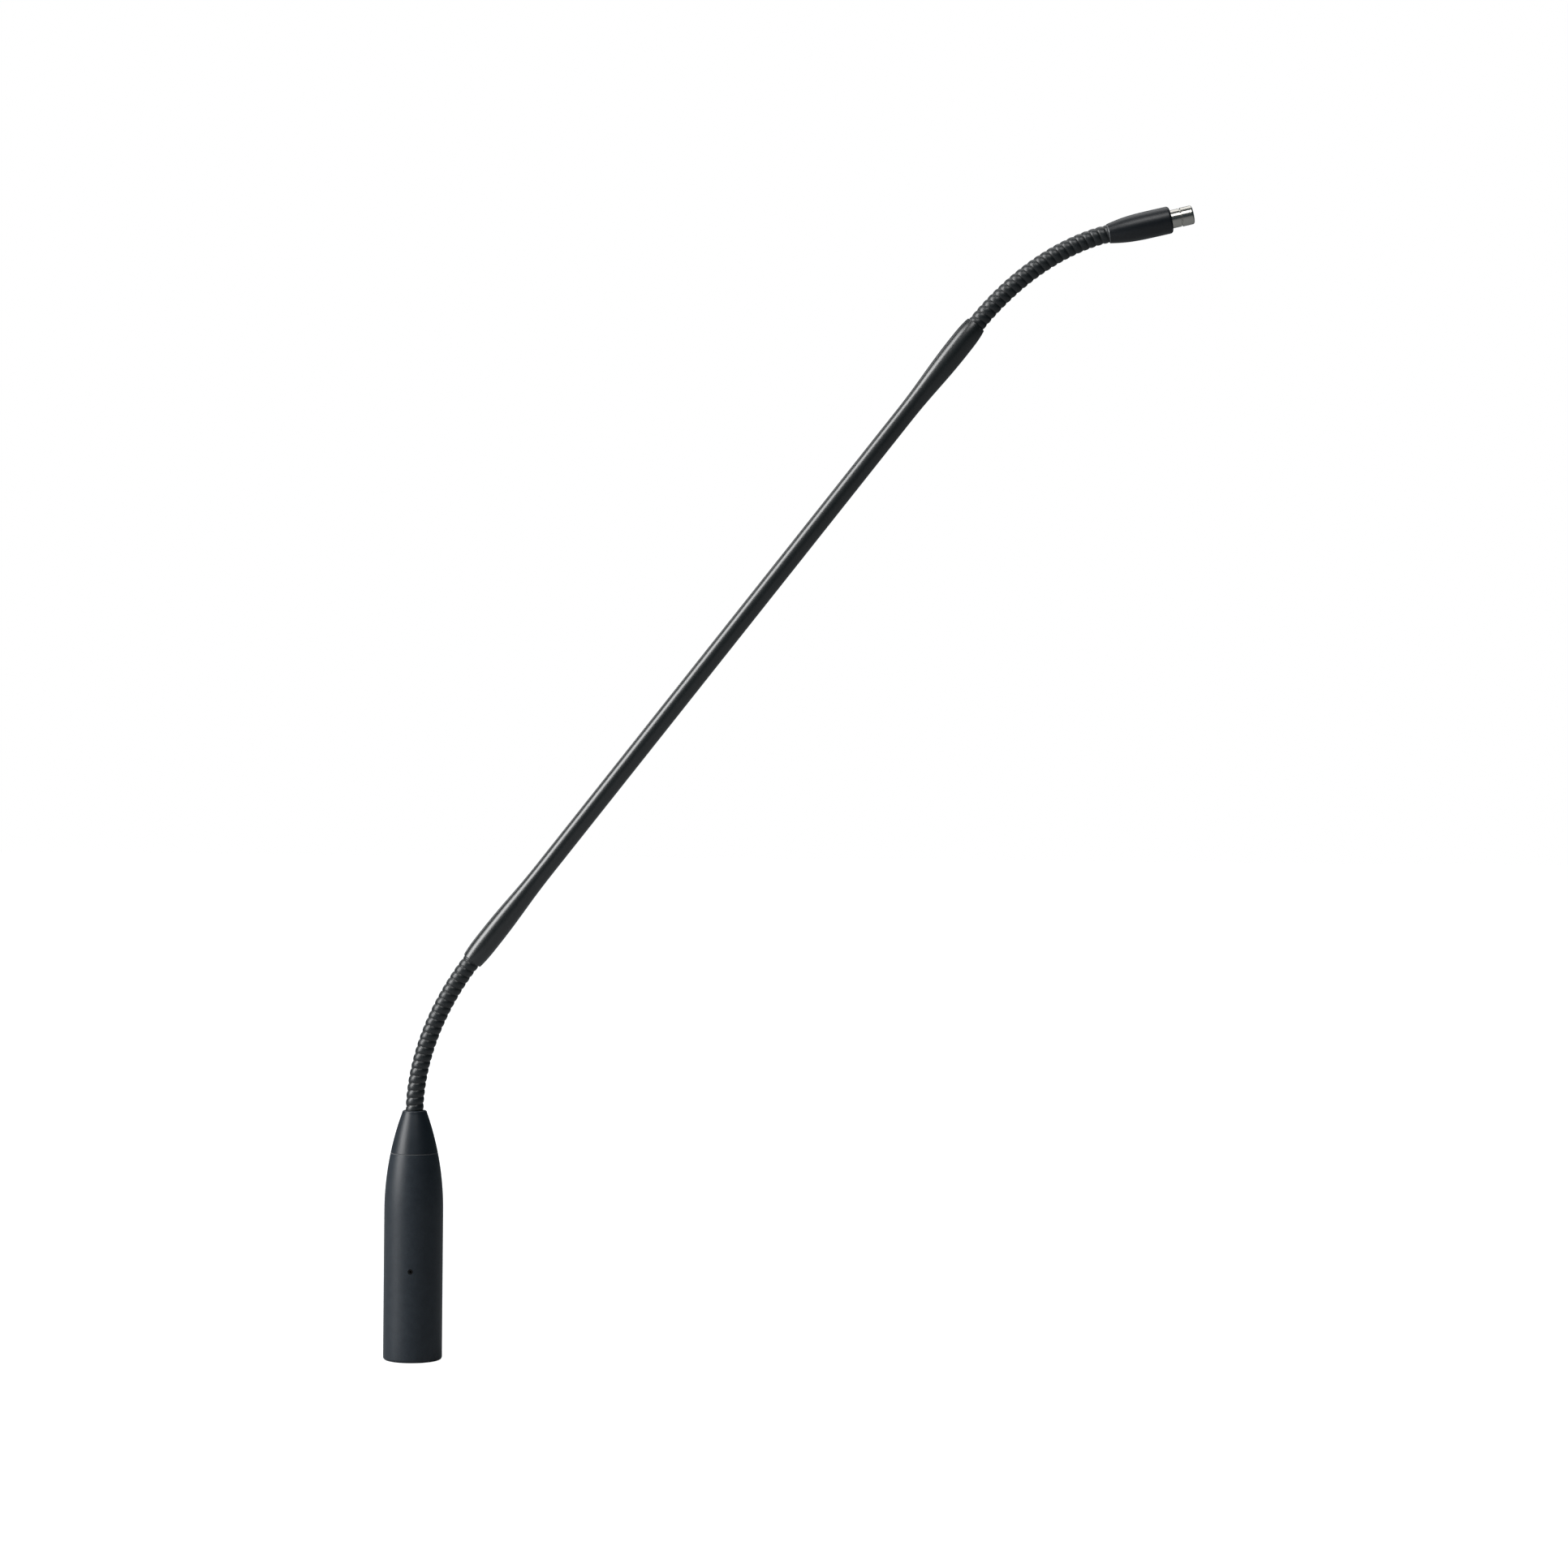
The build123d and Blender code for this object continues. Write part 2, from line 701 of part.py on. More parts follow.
plug_radius = stem_socket_radius - seat_clearance
spigot_radius = stem_bore_radius - seat_clearance
lower_stem_ferrule = socket_ferrule(
    lower_pivots[-1],
    lower_pitch,
    [
        (flex_groove_radius, lower_pitch),
        (plug_radius, lower_pitch + seat_clearance),
        (plug_radius, lower_pitch + stem_socket_depth),
        (spigot_radius, lower_pitch + stem_socket_depth),
        (spigot_radius, lower_pitch + stem_socket_depth + stem_spigot_length),
        (flex_bore_radius, lower_pitch + stem_socket_depth + stem_spigot_length),
    ],
)
save(lower_stem_ferrule, "lower_stem_ferrule")

upper_anchor = station(along(station(stem_end, stem_tilt), upper_pitch), stem_tilt)
upper_stem_ferrule = ball_ferrule(
    upper_anchor,
    upper_pitch,
    [
        (flex_bore_radius, -upper_pitch - stem_socket_depth - stem_spigot_length),
        (spigot_radius, -upper_pitch - stem_socket_depth - stem_spigot_length),
        (spigot_radius, -upper_pitch - stem_socket_depth),
        (plug_radius, -upper_pitch - stem_socket_depth),
        (plug_radius, -upper_pitch - seat_clearance),
        (flex_groove_radius, -upper_pitch),
    ],
)
save(upper_stem_ferrule, "upper_stem_ferrule")

# ---- head holder ----
holder_bore_radius = collar_radius + seat_clearance
holder_front_edge = holder_radius - holder_bore_radius - holder_face_width
with BuildPart() as head_holder:
    with BuildSketch(head):
        with BuildLine():
            seat_start = holder_length - holder_front_edge - holder_seat_length
            rear_edge = (holder_rear_radius, lip_edge)
            seat_rear = (holder_radius, seat_start)
            seat_front = (holder_radius, holder_length - holder_front_edge)
            face_edge = (holder_radius - holder_front_edge, holder_length)
            Line((stem_socket_radius, 0), (holder_rear_radius - lip_edge, 0))
            RadiusArc((holder_rear_radius - lip_edge, 0), rear_edge, -lip_edge)
            Bezier(
                rear_edge,
                (holder_rear_radius + holder_rear_swell, seat_start / 3),
                (holder_radius, seat_start / 2),
                seat_rear,
            )
            Line(seat_rear, seat_front)
            RadiusArc(seat_front, face_edge, -holder_front_edge)
            Polyline(
                face_edge,
                (holder_bore_radius, holder_length),
                (holder_bore_radius, holder_rear_bore_depth),
                (stem_socket_radius, holder_rear_bore_depth),
                (stem_socket_radius, 0),
            )
        make_face()
    revolve(axis=centre_line(head))
save(head_holder.part, "head_holder")

head_ferrule = socket_ferrule(
    upper_pivots[-1],
    upper_pitch,
    [
        (flex_groove_radius, upper_pitch),
        (plug_radius, upper_pitch + seat_clearance),
        (plug_radius, upper_pitch + holder_rear_bore_depth),
        (flex_bore_radius, upper_pitch + holder_rear_bore_depth),
    ],
)
save(head_ferrule, "head_ferrule")

# ---- capsule: its parts are stacked on the tip's axis, measured from the holder's front face ----
spigot_face = collar_length + collar_spigot_length
can_rear = collar_length + collar_groove
can_cavity_end = capsule_length - can_wall
can_bore_radius = collar_spigot_radius + can_fit_gap
stack_radius = can_bore_radius - seat_clearance
with BuildPart() as capsule_collar:
    with BuildSketch(tip):
        with BuildLine():
            Polyline(
                (collar_bore_radius, -collar_stud_length),
                (collar_radius, -collar_stud_length),
                (collar_radius, collar_length),
                (collar_spigot_radius, collar_length),
                (collar_spigot_radius, spigot_face),
                (collar_bore_radius, spigot_face),
                close=True,
            )
        make_face()
    revolve(axis=centre_line(tip))
save(capsule_collar.part, "capsule_collar")

with BuildPart() as capsule_can:
    with BuildSketch(tip):
        with BuildLine():
            Polyline(
                (0, can_cavity_end),
                (can_bore_radius, can_cavity_end),
                (can_bore_radius, can_rear),
                (capsule_radius, can_rear),
                (capsule_radius, capsule_length - can_edge),
            )
            RadiusArc(
                (capsule_radius, capsule_length - can_edge),
                (capsule_radius - can_edge, capsule_length),
                -can_edge,
            )
            Polyline((capsule_radius - can_edge, capsule_length), (0, capsule_length), (0, can_cavity_end))
        make_face()
    revolve(axis=centre_line(tip))
    # sound holes in the front
    with BuildSketch(across(tip, capsule_length)):
        Circle(sound_hole_radius)
        with PolarLocations(sound_hole_circle, 6):
            Circle(sound_hole_radius)
    extrude(amount=-2 * can_wall, mode=Mode.SUBTRACT)
save(capsule_can.part, "capsule_can")

board_front = spigot_face + circuit_thickness
screen_rear = can_cavity_end - screen_thickness
ring_rear = screen_rear - ring_thickness
film_rear = ring_rear - film_thickness
spacer_rear = film_rear - spacer_thickness
plate_rear = spacer_rear - plate_thickness

with BuildPart() as dust_screen:
    with BuildSketch(across(tip, screen_rear)):
        Circle(stack_radius)
    extrude(amount=screen_thickness)
save(dust_screen.part, "dust_screen")

with BuildPart() as diaphragm_ring:
    with BuildSketch(across(tip, ring_rear)):
        Circle(stack_radius)
        Circle(stack_radius - cup_wall, mode=Mode.SUBTRACT)
    extrude(amount=ring_thickness)
save(diaphragm_ring.part, "diaphragm_ring")

with BuildPart() as diaphragm:
    with BuildSketch(across(tip, film_rear)):
        Circle(stack_radius)
    extrude(amount=film_thickness)
save(diaphragm.part, "diaphragm")

with BuildPart() as spacer_ring:
    with BuildSketch(across(tip, spacer_rear)):
        Circle(stack_radius)
        Circle(stack_radius - cup_wall, mode=Mode.SUBTRACT)
    extrude(amount=spacer_thickness)
save(spacer_ring.part, "spacer_ring")

with BuildPart() as backplate_cup:
    with BuildSketch(across(tip, board_front)):
        Circle(stack_radius)
        Circle(stack_radius - cup_wall, mode=Mode.SUBTRACT)
    extrude(amount=spacer_rear - board_front)
    with BuildSketch(across(tip, board_front)):
        Circle(stack_radius - cup_wall)
        Circle(stack_radius - 2 * cup_wall, mode=Mode.SUBTRACT)
    extrude(amount=plate_rear - board_front)
save(backplate_cup.part, "backplate_cup")

with BuildPart() as backplate:
    with BuildSketch(across(tip, plate_rear)):
        Circle(stack_radius - cup_wall - seat_clearance / 2)
        with PolarLocations(sound_hole_circle / 2, 4):
            Circle(sound_hole_radius, mode=Mode.SUBTRACT)
    extrude(amount=plate_thickness)
save(backplate.part, "backplate")

with BuildPart() as capsule_board:
    with BuildSketch(across(tip, spigot_face)):
        Circle(stack_radius)
    extrude(amount=circuit_thickness)
save(capsule_board.part, "capsule_board")

with BuildPart() as capsule_fet:
    with BuildSketch(across(tip, spigot_face)):
        Rectangle(fet_width, fet_depth)
    extrude(amount=-fet_height)
save(capsule_fet.part, "capsule_fet")

# ---- spring contact between the capsule and the cable ----
contact_board_front = -collar_stud_length
with BuildPart() as signal_contact:
    with BuildSketch(across(tip, contact_board_front)):
        Circle(contact_radius)
    extrude(amount=spigot_face - fet_height - contact_board_front)
save(signal_contact.part, "signal_contact")

with BuildPart() as contact_bush:
    with BuildSketch(across(tip, -collar_stud_length / 2)):
        Circle(collar_bore_radius - seat_clearance / 2)
        Circle(contact_radius + seat_clearance / 2, mode=Mode.SUBTRACT)
    extrude(amount=collar_stud_length / 2)
save(contact_bush.part, "contact_bush")

with BuildPart() as contact_board:
    with BuildSketch(across(tip, contact_board_front)):
        Circle(collar_radius)
    extrude(amount=-contact_board_thickness)
save(contact_board.part, "contact_board")

# ---- signal cable: one length through the whole neck, with an arc at every pivot ----
cable_end = along(tip, contact_board_front - contact_board_thickness)
cable_start = Vector(0, 0, cable_start_z)
bends = [plane.origin for plane in lower_pivots + upper_pivots]
corners = [cable_start, *bends, cable_end]
cable_radii = []
for before, corner, after in zip(corners, corners[1:], corners[2:]):
    shorter = min((corner - before).length, (after - corner).length)
    turn = (corner - before).get_angle(after - corner)
    cable_radii.append(cable_bend_share * shorter / tan(radians(turn / 2)))
print("cable bend radii", [round(value, 1) for value in cable_radii])
with BuildPart() as signal_cable:
    with BuildLine() as route:
        FilletPolyline(*corners, radius=cable_radii)
    with BuildSketch(Plane(origin=cable_start, z_dir=(0, 0, 1))):
        Circle(cable_radius)
    sweep(path=route.wires()[0])
route_length = route.wires()[0].length
section_area = pi * cable_radius**2
print("cable length", round(route_length, 1))
print("cable volume", round(signal_cable.part.volume, 1), "expected", round(section_area * route_length, 1))
save(signal_cable.part, "signal_cable")
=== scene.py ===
"""Visual model of a gooseneck podium microphone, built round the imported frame.

All lengths are metres. +Z runs up the plug's axis and the neck leans towards +X in the XZ plane.
"""

import json
import logging
import math
from collections.abc import Callable, Sequence
from dataclasses import dataclass, replace
from enum import Enum
from typing import ClassVar

import bpy
import numpy as np
from bpy.types import (
    ID,
    Material,
    Mesh,
    Node,
    NodeInputs,
    NodeOutputs,
    NodeSocket,
    NodeTree,
    Object,
)
from mathutils import Matrix, Vector

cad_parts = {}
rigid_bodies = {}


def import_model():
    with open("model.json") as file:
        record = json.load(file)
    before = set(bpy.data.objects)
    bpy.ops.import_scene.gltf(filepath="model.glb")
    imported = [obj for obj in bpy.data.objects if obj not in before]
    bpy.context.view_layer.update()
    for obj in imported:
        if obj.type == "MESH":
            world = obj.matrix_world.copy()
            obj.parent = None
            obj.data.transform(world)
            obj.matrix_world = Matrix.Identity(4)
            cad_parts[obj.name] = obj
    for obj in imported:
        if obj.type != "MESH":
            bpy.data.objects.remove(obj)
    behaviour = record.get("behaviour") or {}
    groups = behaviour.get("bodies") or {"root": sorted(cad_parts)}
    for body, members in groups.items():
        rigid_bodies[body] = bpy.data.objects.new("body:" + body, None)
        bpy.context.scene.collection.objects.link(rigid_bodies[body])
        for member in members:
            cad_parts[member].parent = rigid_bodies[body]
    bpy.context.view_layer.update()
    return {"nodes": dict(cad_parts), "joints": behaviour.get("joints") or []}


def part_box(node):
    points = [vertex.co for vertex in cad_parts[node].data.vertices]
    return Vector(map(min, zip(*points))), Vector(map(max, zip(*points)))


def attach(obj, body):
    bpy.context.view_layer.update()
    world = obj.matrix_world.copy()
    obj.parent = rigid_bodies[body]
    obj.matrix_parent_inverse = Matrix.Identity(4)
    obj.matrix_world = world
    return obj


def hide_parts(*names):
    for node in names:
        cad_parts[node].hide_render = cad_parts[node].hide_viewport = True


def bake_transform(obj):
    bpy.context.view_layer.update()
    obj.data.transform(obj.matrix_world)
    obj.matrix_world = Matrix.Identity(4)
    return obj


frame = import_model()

log = logging.getLogger("gooseneck_microphone")

MM = 0.001
CREASE_ANGLE = 28.0
CABLE_CREASE_ANGLE = 40.0
CABLE_SEGMENTS = 24
HOLE_SEGMENTS = 32
CORNER_STEPS = 6
EDGE_STEPS = 8
CURVE_STEPS = 12
ACROSS = Vector((0.0, 1.0, 0.0))
UP = Vector((0.0, 0.0, 1.0))
CREST = "crest_height"
FLAT_LAYER = "laid_flat"
VECTOR, FLOAT, RGBA = "NodeSocketVector", "NodeSocketFloat", "NodeSocketColor"
MIX_FIRST, MIX_SECOND, MIX_RESULT = 6, 7, 2
FINE_DETAIL, PLAIN_DETAIL = 3.0, 2.0
WHITE = (1.0, 1.0, 1.0)

Point = tuple[float, float]
Triple = tuple[float, float, float]
Given = NodeSocket | float | Triple


class Band(Enum):
    """Which part of a coil piece's surface a face belongs to."""

    WOUND = "wound outside"
    BORE = "smooth bore"
    END = "cut end"


class Coordinates(Enum):
    """Which coordinates a finish's grain follows."""

    OBJECT = "Object"
    UV = "UV"


# --- stations and profiles


@dataclass(frozen=True)
class Station:
    """A point on the neck's axis, with the direction in which the neck runs there."""

    origin: Vector
    ahead: Vector

    @property
    def side(self) -> Vector:
        """Direction square to the axis, in the neck's plane, towards its outer side."""
        return Vector((self.ahead.z, 0.0, -self.ahead.x))

    def place(self, radius: float, angle: float, height: float) -> Vector:
        """Point at a radius, an angle round the axis and a height along it."""
        outward = self.side * math.cos(angle) + ACROSS * math.sin(angle)
        return self.origin + outward * radius + self.ahead * height

    def moved(self, distance: float) -> "Station":
        """The same station further along its axis."""
        return Station(self.origin + self.ahead * distance, self.ahead)


UPRIGHT = Station(Vector(), UP)


def circle(size: int) -> list[float]:
    """Evenly spaced angles round a circle."""
    return [math.tau * k / size for k in range(size)]


def arc(centre: Point, radius: float, start: float, end: float, steps: int) -> list[Point]:
    """Points of an arc in the profile plane.

    Args:
        centre: The arc's centre as (radius, height).
        radius: The arc's own radius.
        start: First angle in degrees, counted from the radial direction towards the height.
        end: Last angle in degrees.
        steps: Number of chords.

    Returns:
        The points from start to end, both included.
    """
    angles = [math.radians(start + (end - start) * n / steps) for n in range(steps + 1)]
    return [(centre[0] + radius * math.cos(a), centre[1] + radius * math.sin(a)) for a in angles]


def bezier(points: Sequence[Point], steps: int) -> list[Point]:
    """Points of a cubic Bezier curve in the profile plane.

    Args:
        points: The curve's four control points as (radius, height).
        steps: Number of chords.

    Returns:
        The points from the first to the last, both included.
    """
    (ra, ha), (rb, hb), (rc, hc), (rd, hd) = points
    found = []
    for n in range(steps + 1):
        t = n / steps
        a, b, c, d = (1 - t) ** 3, 3 * t * (1 - t) ** 2, 3 * t * t * (1 - t), t**3
        found.append((a * ra + b * rb + c * rc + d * rd, a * ha + b * hb + c * hc + d * hd))
    return found


def stepped(bore: float, steps: Sequence[Triple]) -> list[Point]:
    """Outline of a sleeve with a plain bore and a stepped outside.

    Args:
        bore: Radius of the bore.
        steps: The outside's steps in order, each as (radius, first height, last height).

    Returns:
        The outline's points.
    """
    outside = [(radius, height) for radius, *heights in steps for height in heights]
    return [(bore, outside[0][1]), *outside, (bore, outside[-1][1])]


def add_object(name: str, data: ID) -> Object:
    """Make an object of a mesh, a light or a camera and link it to the scene.

    Args:
        name: The object's name.
        data: What it holds.

    Returns:
        The new object.
    """
    made = bpy.data.objects.new(name, data)
    bpy.context.scene.collection.objects.link(made)
    return made


def new_piece(name: str, vertices: Sequence, faces: Sequence[Sequence[int]]) -> Object:
    """Make a mesh object from vertices and faces.

    Args:
        name: The object's name, and its mesh's.
        vertices: The vertices' places.
        faces: The faces, each as its vertices' numbers.

    Returns:
        The new object.
    """
    mesh = bpy.data.meshes.new(name)
    mesh.from_pydata([tuple(v) for v in vertices], [], [tuple(f) for f in faces])
    mesh.update()
    return add_object(name, mesh)


def smooth(mesh: Mesh, crease: float = CREASE_ANGLE) -> None:
    """Shade a mesh smooth up to a crease angle in degrees."""
    mesh.shade_smooth()
    mesh.set_sharp_from_angle(angle=math.radians(crease))


def quads(low: int, high: int, size: int) -> list[tuple[int, ...]]:
    """Join two rings of vertices by a band of quads.

    Args:
        low: Number of the first ring's first vertex.
        high: Number of the second ring's first vertex.
        size: Number of vertices in each ring.

    Returns:
        The faces, which look outward where the second ring lies above the first.
    """
    return [(low + k, low + (k + 1) % size, high + (k + 1) % size, high + k) for k in range(size)]


def ends(low: int, high: int, size: int) -> list[tuple[int, ...]]:
    """Close a tube's first ring, seen from behind, and its last, seen from ahead.

    Args:
        low: Number of the first ring's first vertex.
        high: Number of the last ring's first vertex.
        size: Number of vertices in each ring.

    Returns:
        The two faces.
    """
    return [tuple(reversed(range(low, low + size))), tuple(range(high, high + size))]


def lay_flat(piece: Object, size: int, width: float, heights: Sequence[float]) -> None:
    """Give a piece made of rings UVs laid out in metres: round it across, along it upwards.

    Args:
        piece: The piece.
        size: Number of vertices in each ring.
        width: Way round the piece.
        heights: How far along the piece each ring lies.
    """
    layer = piece.data.uv_layers.new(name=FLAT_LAYER)
    for face in piece.data.polygons:
        columns = [piece.data.loops[i].vertex_index % size for i in face.loop_indices]
        wraps = len(columns) < size and max(columns) - min(columns) > 1
        for i, column in zip(face.loop_indices, columns):
            row = piece.data.loops[i].vertex_index // size
            if wraps and column == 0:
                column = size
            layer.data[i].uv = (column / size * width, heights[row])


def turned(
    name: str,
    profile: Sequence[Point],
    station: Station,
    segments: int,
    highlight_rows: Callable[[float], bool] | None = None,
) -> Object:
    """Turn a closed profile round a station's axis, as on a lathe.

    Args:
        name: The new object's name.
        profile: Closed outline as (radius, height) pairs, none of them on the axis.
        station: Where the profile's zero height lies and which way it runs.
        segments: Number of steps round the axis.
        highlight_rows: Says by height which rows take the piece's second finish, a lighter one that
            paints a highlight line along an edge.

    Returns:
        The new object.
    """
    area = sum(
        ra * hb - rb * ha for (ra, ha), (rb, hb) in zip(profile, [*profile[1:], profile[0]])
    )
    if area < 0:
        profile = list(reversed(profile))
    vertices = [
        station.place(radius, angle, height)
        for radius, height in profile
        for angle in circle(segments)
    ]
    count = len(profile)
    faces = []
    for row in range(count):
        faces += quads(row * segments, (row + 1) % count * segments, segments)
    piece = new_piece(name, vertices, faces)
    smooth(piece.data)
    if highlight_rows is not None:
        # The rows picked here take the second finish, which paints a highlight line.
        for row in range(count):
            middle = (profile[row][1] + profile[(row + 1) % count][1]) / 2
            if highlight_rows(middle):
                for k in range(segments):
                    piece.data.polygons[row * segments + k].material_index = 1
    return piece


def rod(name: str, foot: Vector, ahead: Vector, radius: float, length: float) -> Object:
    """Make a short solid rod, used to cut a round hole.

    Args:
        name: The rod's name.
        foot: Middle of its first end.
        ahead: Direction it runs in.
        radius: Its radius.
        length: Its length.

    Returns:
        The rod's object.
    """
    across = ahead.orthogonal().normalized()
    beside = ahead.cross(across)
    size = HOLE_SEGMENTS
    ring = [
        across * (radius * math.cos(angle)) + beside * (radius * math.sin(angle))
        for angle in circle(size)
    ]
    vertices = [foot + v for v in ring] + [foot + ahead * length + v for v in ring]
    return new_piece(name, vertices, quads(0, size, size) + ends(0, size, size))


def rounded_block(
    name: str, centre: Vector, width: float, height: float, corner: float, near: float, far: float
) -> Object:
    """Make a block with rounded corners that runs along Y, used as a rib or to cut a window.

    Args:
        name: The block's name.
        centre: Middle of the block's XZ outline.
        width: Size along X.
        height: Size along Z.
        corner: Corner radius.
        near: Its first end along Y.
        far: Its last end along Y.

    Returns:
        The block's object.
    """
    outline = []
    for turn, (sx, sz) in enumerate(((1, 1), (-1, 1), (-1, -1), (1, -1))):
        middle = (centre.x + sx * (width / 2 - corner), centre.z + sz * (height / 2 - corner))
        outline += arc(middle, corner, 90.0 * turn, 90.0 * (turn + 1), CORNER_STEPS)
    size = len(outline)
    vertices = [(x, near, z) for x, z in outline] + [(x, far, z) for x, z in outline]
    return new_piece(name, vertices, quads(size, 0, size) + ends(size, 0, size))


def cut_out(piece: Object, cutters: Sequence[Object]) -> None:
    """Cut shapes out of a piece, keep the result in its mesh and remove the cutters.

    The cut is worked out in millimetres, because the solver merges points that are very close.

    Args:
        piece: The piece to cut.
        cutters: The shapes to cut out of it.
    """
    piece.data.transform(Matrix.Scale(1 / MM, 4))
    for cutter in cutters:
        cutter.data.transform(Matrix.Scale(1 / MM, 4))
        change = piece.modifiers.new("cut", "BOOLEAN")
        change.operation = "DIFFERENCE"
        change.solver = "EXACT"
        change.object = cutter
    bpy.context.view_layer.update()
    seen = piece.evaluated_get(bpy.context.evaluated_depsgraph_get())
    mesh = bpy.data.meshes.new_from_object(seen)
    piece.modifiers.clear()
    piece.data = mesh
    mesh.transform(Matrix.Scale(MM, 4))
    smooth(mesh)
    for cutter in cutters:
        bpy.data.objects.remove(cutter)


def fit(piece: Object, finish: "Finish", slot: str, body: str, *nodes: str) -> None:
    """Dress a rigid piece, let it ride on a body and stand for its nodes.

    Args:
        piece: The piece, already built.
        finish: Its finish.
        slot: The slot that its colour belongs to; not used.
        body: The body that it rides on.
        nodes: The frame's nodes that it stands for, if any.
    """
    dress(piece, finish)
    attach(piece, body)
    if nodes:
        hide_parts(*nodes)
    log.info("%s: %s, on body %s", piece.name, finish.name, body)


# --- node groups


def feed(tree: NodeTree, sockets: Sequence, values: dict[str | int, Given]) -> None:
    """Give sockets their values: links from other nodes, numbers, vectors or colours.

    Args:
        tree: The node tree.
        sockets: A node's inputs.
        values: What each takes, by its name or number.
    """
    for key, value in values.items():
        if isinstance(value, NodeSocket):
            tree.links.new(value, sockets[key])
        elif sockets[key].type == "RGBA":
            sockets[key].default_value = (*value, 1.0)
        else:
            sockets[key].default_value = value


def add_node(tree: NodeTree, kind: str, inputs: dict[str | int, Given], **options: object) -> Node:
    """Add a node, choose its options and feed its inputs.

    Args:
        tree: The node tree.
        kind: The node's type.
        inputs: What each input takes, by its name or number.
        options: The node's other settings.

    Returns:
        The node.
    """
    node = tree.nodes.new(kind)
    for option, value in options.items():
        setattr(node, option, value)
    feed(tree, node.inputs, inputs)
    return node


def maths(tree: NodeTree, operation: str, first: Given, second: Given) -> NodeSocket:
    """Work out one step of arithmetic on two values.

    Args:
        tree: The node tree.
        operation: The Math node's operation.
        first: The first value.
        second: The second value.

    Returns:
        The result's socket.
    """
    node = add_node(tree, "ShaderNodeMath", {0: first, 1: second}, operation=operation)
    return node.outputs[0]


def blended(tree: NodeTree, mask: Given, low: Given, high: Given) -> NodeSocket:
    """Mix two colours by a mask.

    Args:
        tree: The node tree.
        mask: Share of the second colour, from 0 to 1.
        low: The first colour.
        high: The second colour.

    Returns:
        The mixed colour's socket.
    """
    inputs = {0: mask, MIX_FIRST: low, MIX_SECOND: high}
    return add_node(tree, "ShaderNodeMix", inputs, data_type="RGBA").outputs[MIX_RESULT]


def noise(tree: NodeTree, vector: Given, scale: Given, detail: float) -> NodeSocket:
    """Add a noise texture.

    Args:
        tree: The node tree.
        vector: The coordinates.
        scale: The noise's scale.
        detail: How many finer layers it has.

    Returns:
        The noise's value, from 0 to 1.
    """
    inputs = {"Vector": vector, "Scale": scale, "Detail": detail}
    return add_node(tree, "ShaderNodeTexNoise", inputs).outputs["Fac"]


def start_group(
    name: str, inputs: Sequence[tuple[str, str]], outputs: Sequence[tuple[str, str]]
) -> tuple[NodeTree, NodeOutputs, NodeInputs]:
    """Begin a shader node group.

    Args:
        name: The group's name.
        inputs: Pairs of socket name and socket type.
        outputs: Pairs of socket name and socket type.

    Returns:
        The group, its input node's outputs and its output node's inputs.
    """
    group = bpy.data.node_groups.new(name, "ShaderNodeTree")
    for way, sockets in (("INPUT", inputs), ("OUTPUT", outputs)):
        for label, kind in sockets:
            group.interface.new_socket(name=label, in_out=way, socket_type=kind)
    given = group.nodes.new("NodeGroupInput").outputs
    result = group.nodes.new("NodeGroupOutput").inputs
    return group, given, result


def build_grain_group() -> NodeTree:
    """Build the surface grain: a slow mottle of colour and gloss, and a fine relief.

    Returns:
        The node group.
    """
    group, given, result = start_group(
        "surface_grain",
        [
            ("Vector", VECTOR),
            ("Fine Scale", FLOAT),
            ("Mottle Scale", FLOAT),
            ("Colour", RGBA),
            ("Mottle Colour", RGBA),
            ("Roughness Low", FLOAT),
            ("Roughness High", FLOAT),
        ],
        [("Colour", RGBA), ("Roughness", FLOAT), ("Height", FLOAT)],
    )
    fine = noise(group, given["Vector"], given["Fine Scale"], FINE_DETAIL)
    mottle = noise(group, given["Vector"], given["Mottle Scale"], PLAIN_DETAIL)
    both = maths(group, "MULTIPLY", maths(group, "ADD", fine, mottle), 0.5)
    colour = blended(group, both, given["Colour"], given["Mottle Colour"])
    limits = {"To Min": given["Roughness Low"], "To Max": given["Roughness High"]}
    gloss = add_node(group, "ShaderNodeMapRange", {"Value": both, **limits})
    feed(group, result, {"Colour": colour, "Roughness": gloss.outputs[0], "Height": fine})
    return group


def build_turning_group() -> NodeTree:
    """Build the fine turning lines: rings square to an axis, as a lathe tool leaves them.

    Returns:
        The node group.
    """
    group, given, result = start_group(
        "turning_lines",
        [("Vector", VECTOR), ("Axis", VECTOR), ("Lines Scale", FLOAT)],
        [("Height", FLOAT)],
    )
    pair = {0: given["Vector"], 1: given["Axis"]}
    along = add_node(group, "ShaderNodeVectorMath", pair, operation="DOT_PRODUCT")
    lines = add_node(
        group,
        "ShaderNodeTexNoise",
        {"W": along.outputs["Value"], "Scale": given["Lines Scale"], "Detail": PLAIN_DETAIL},
        noise_dimensions="1D",
    )
    feed(group, result, {"Height": lines.outputs["Fac"]})
    return group


# --- finishes


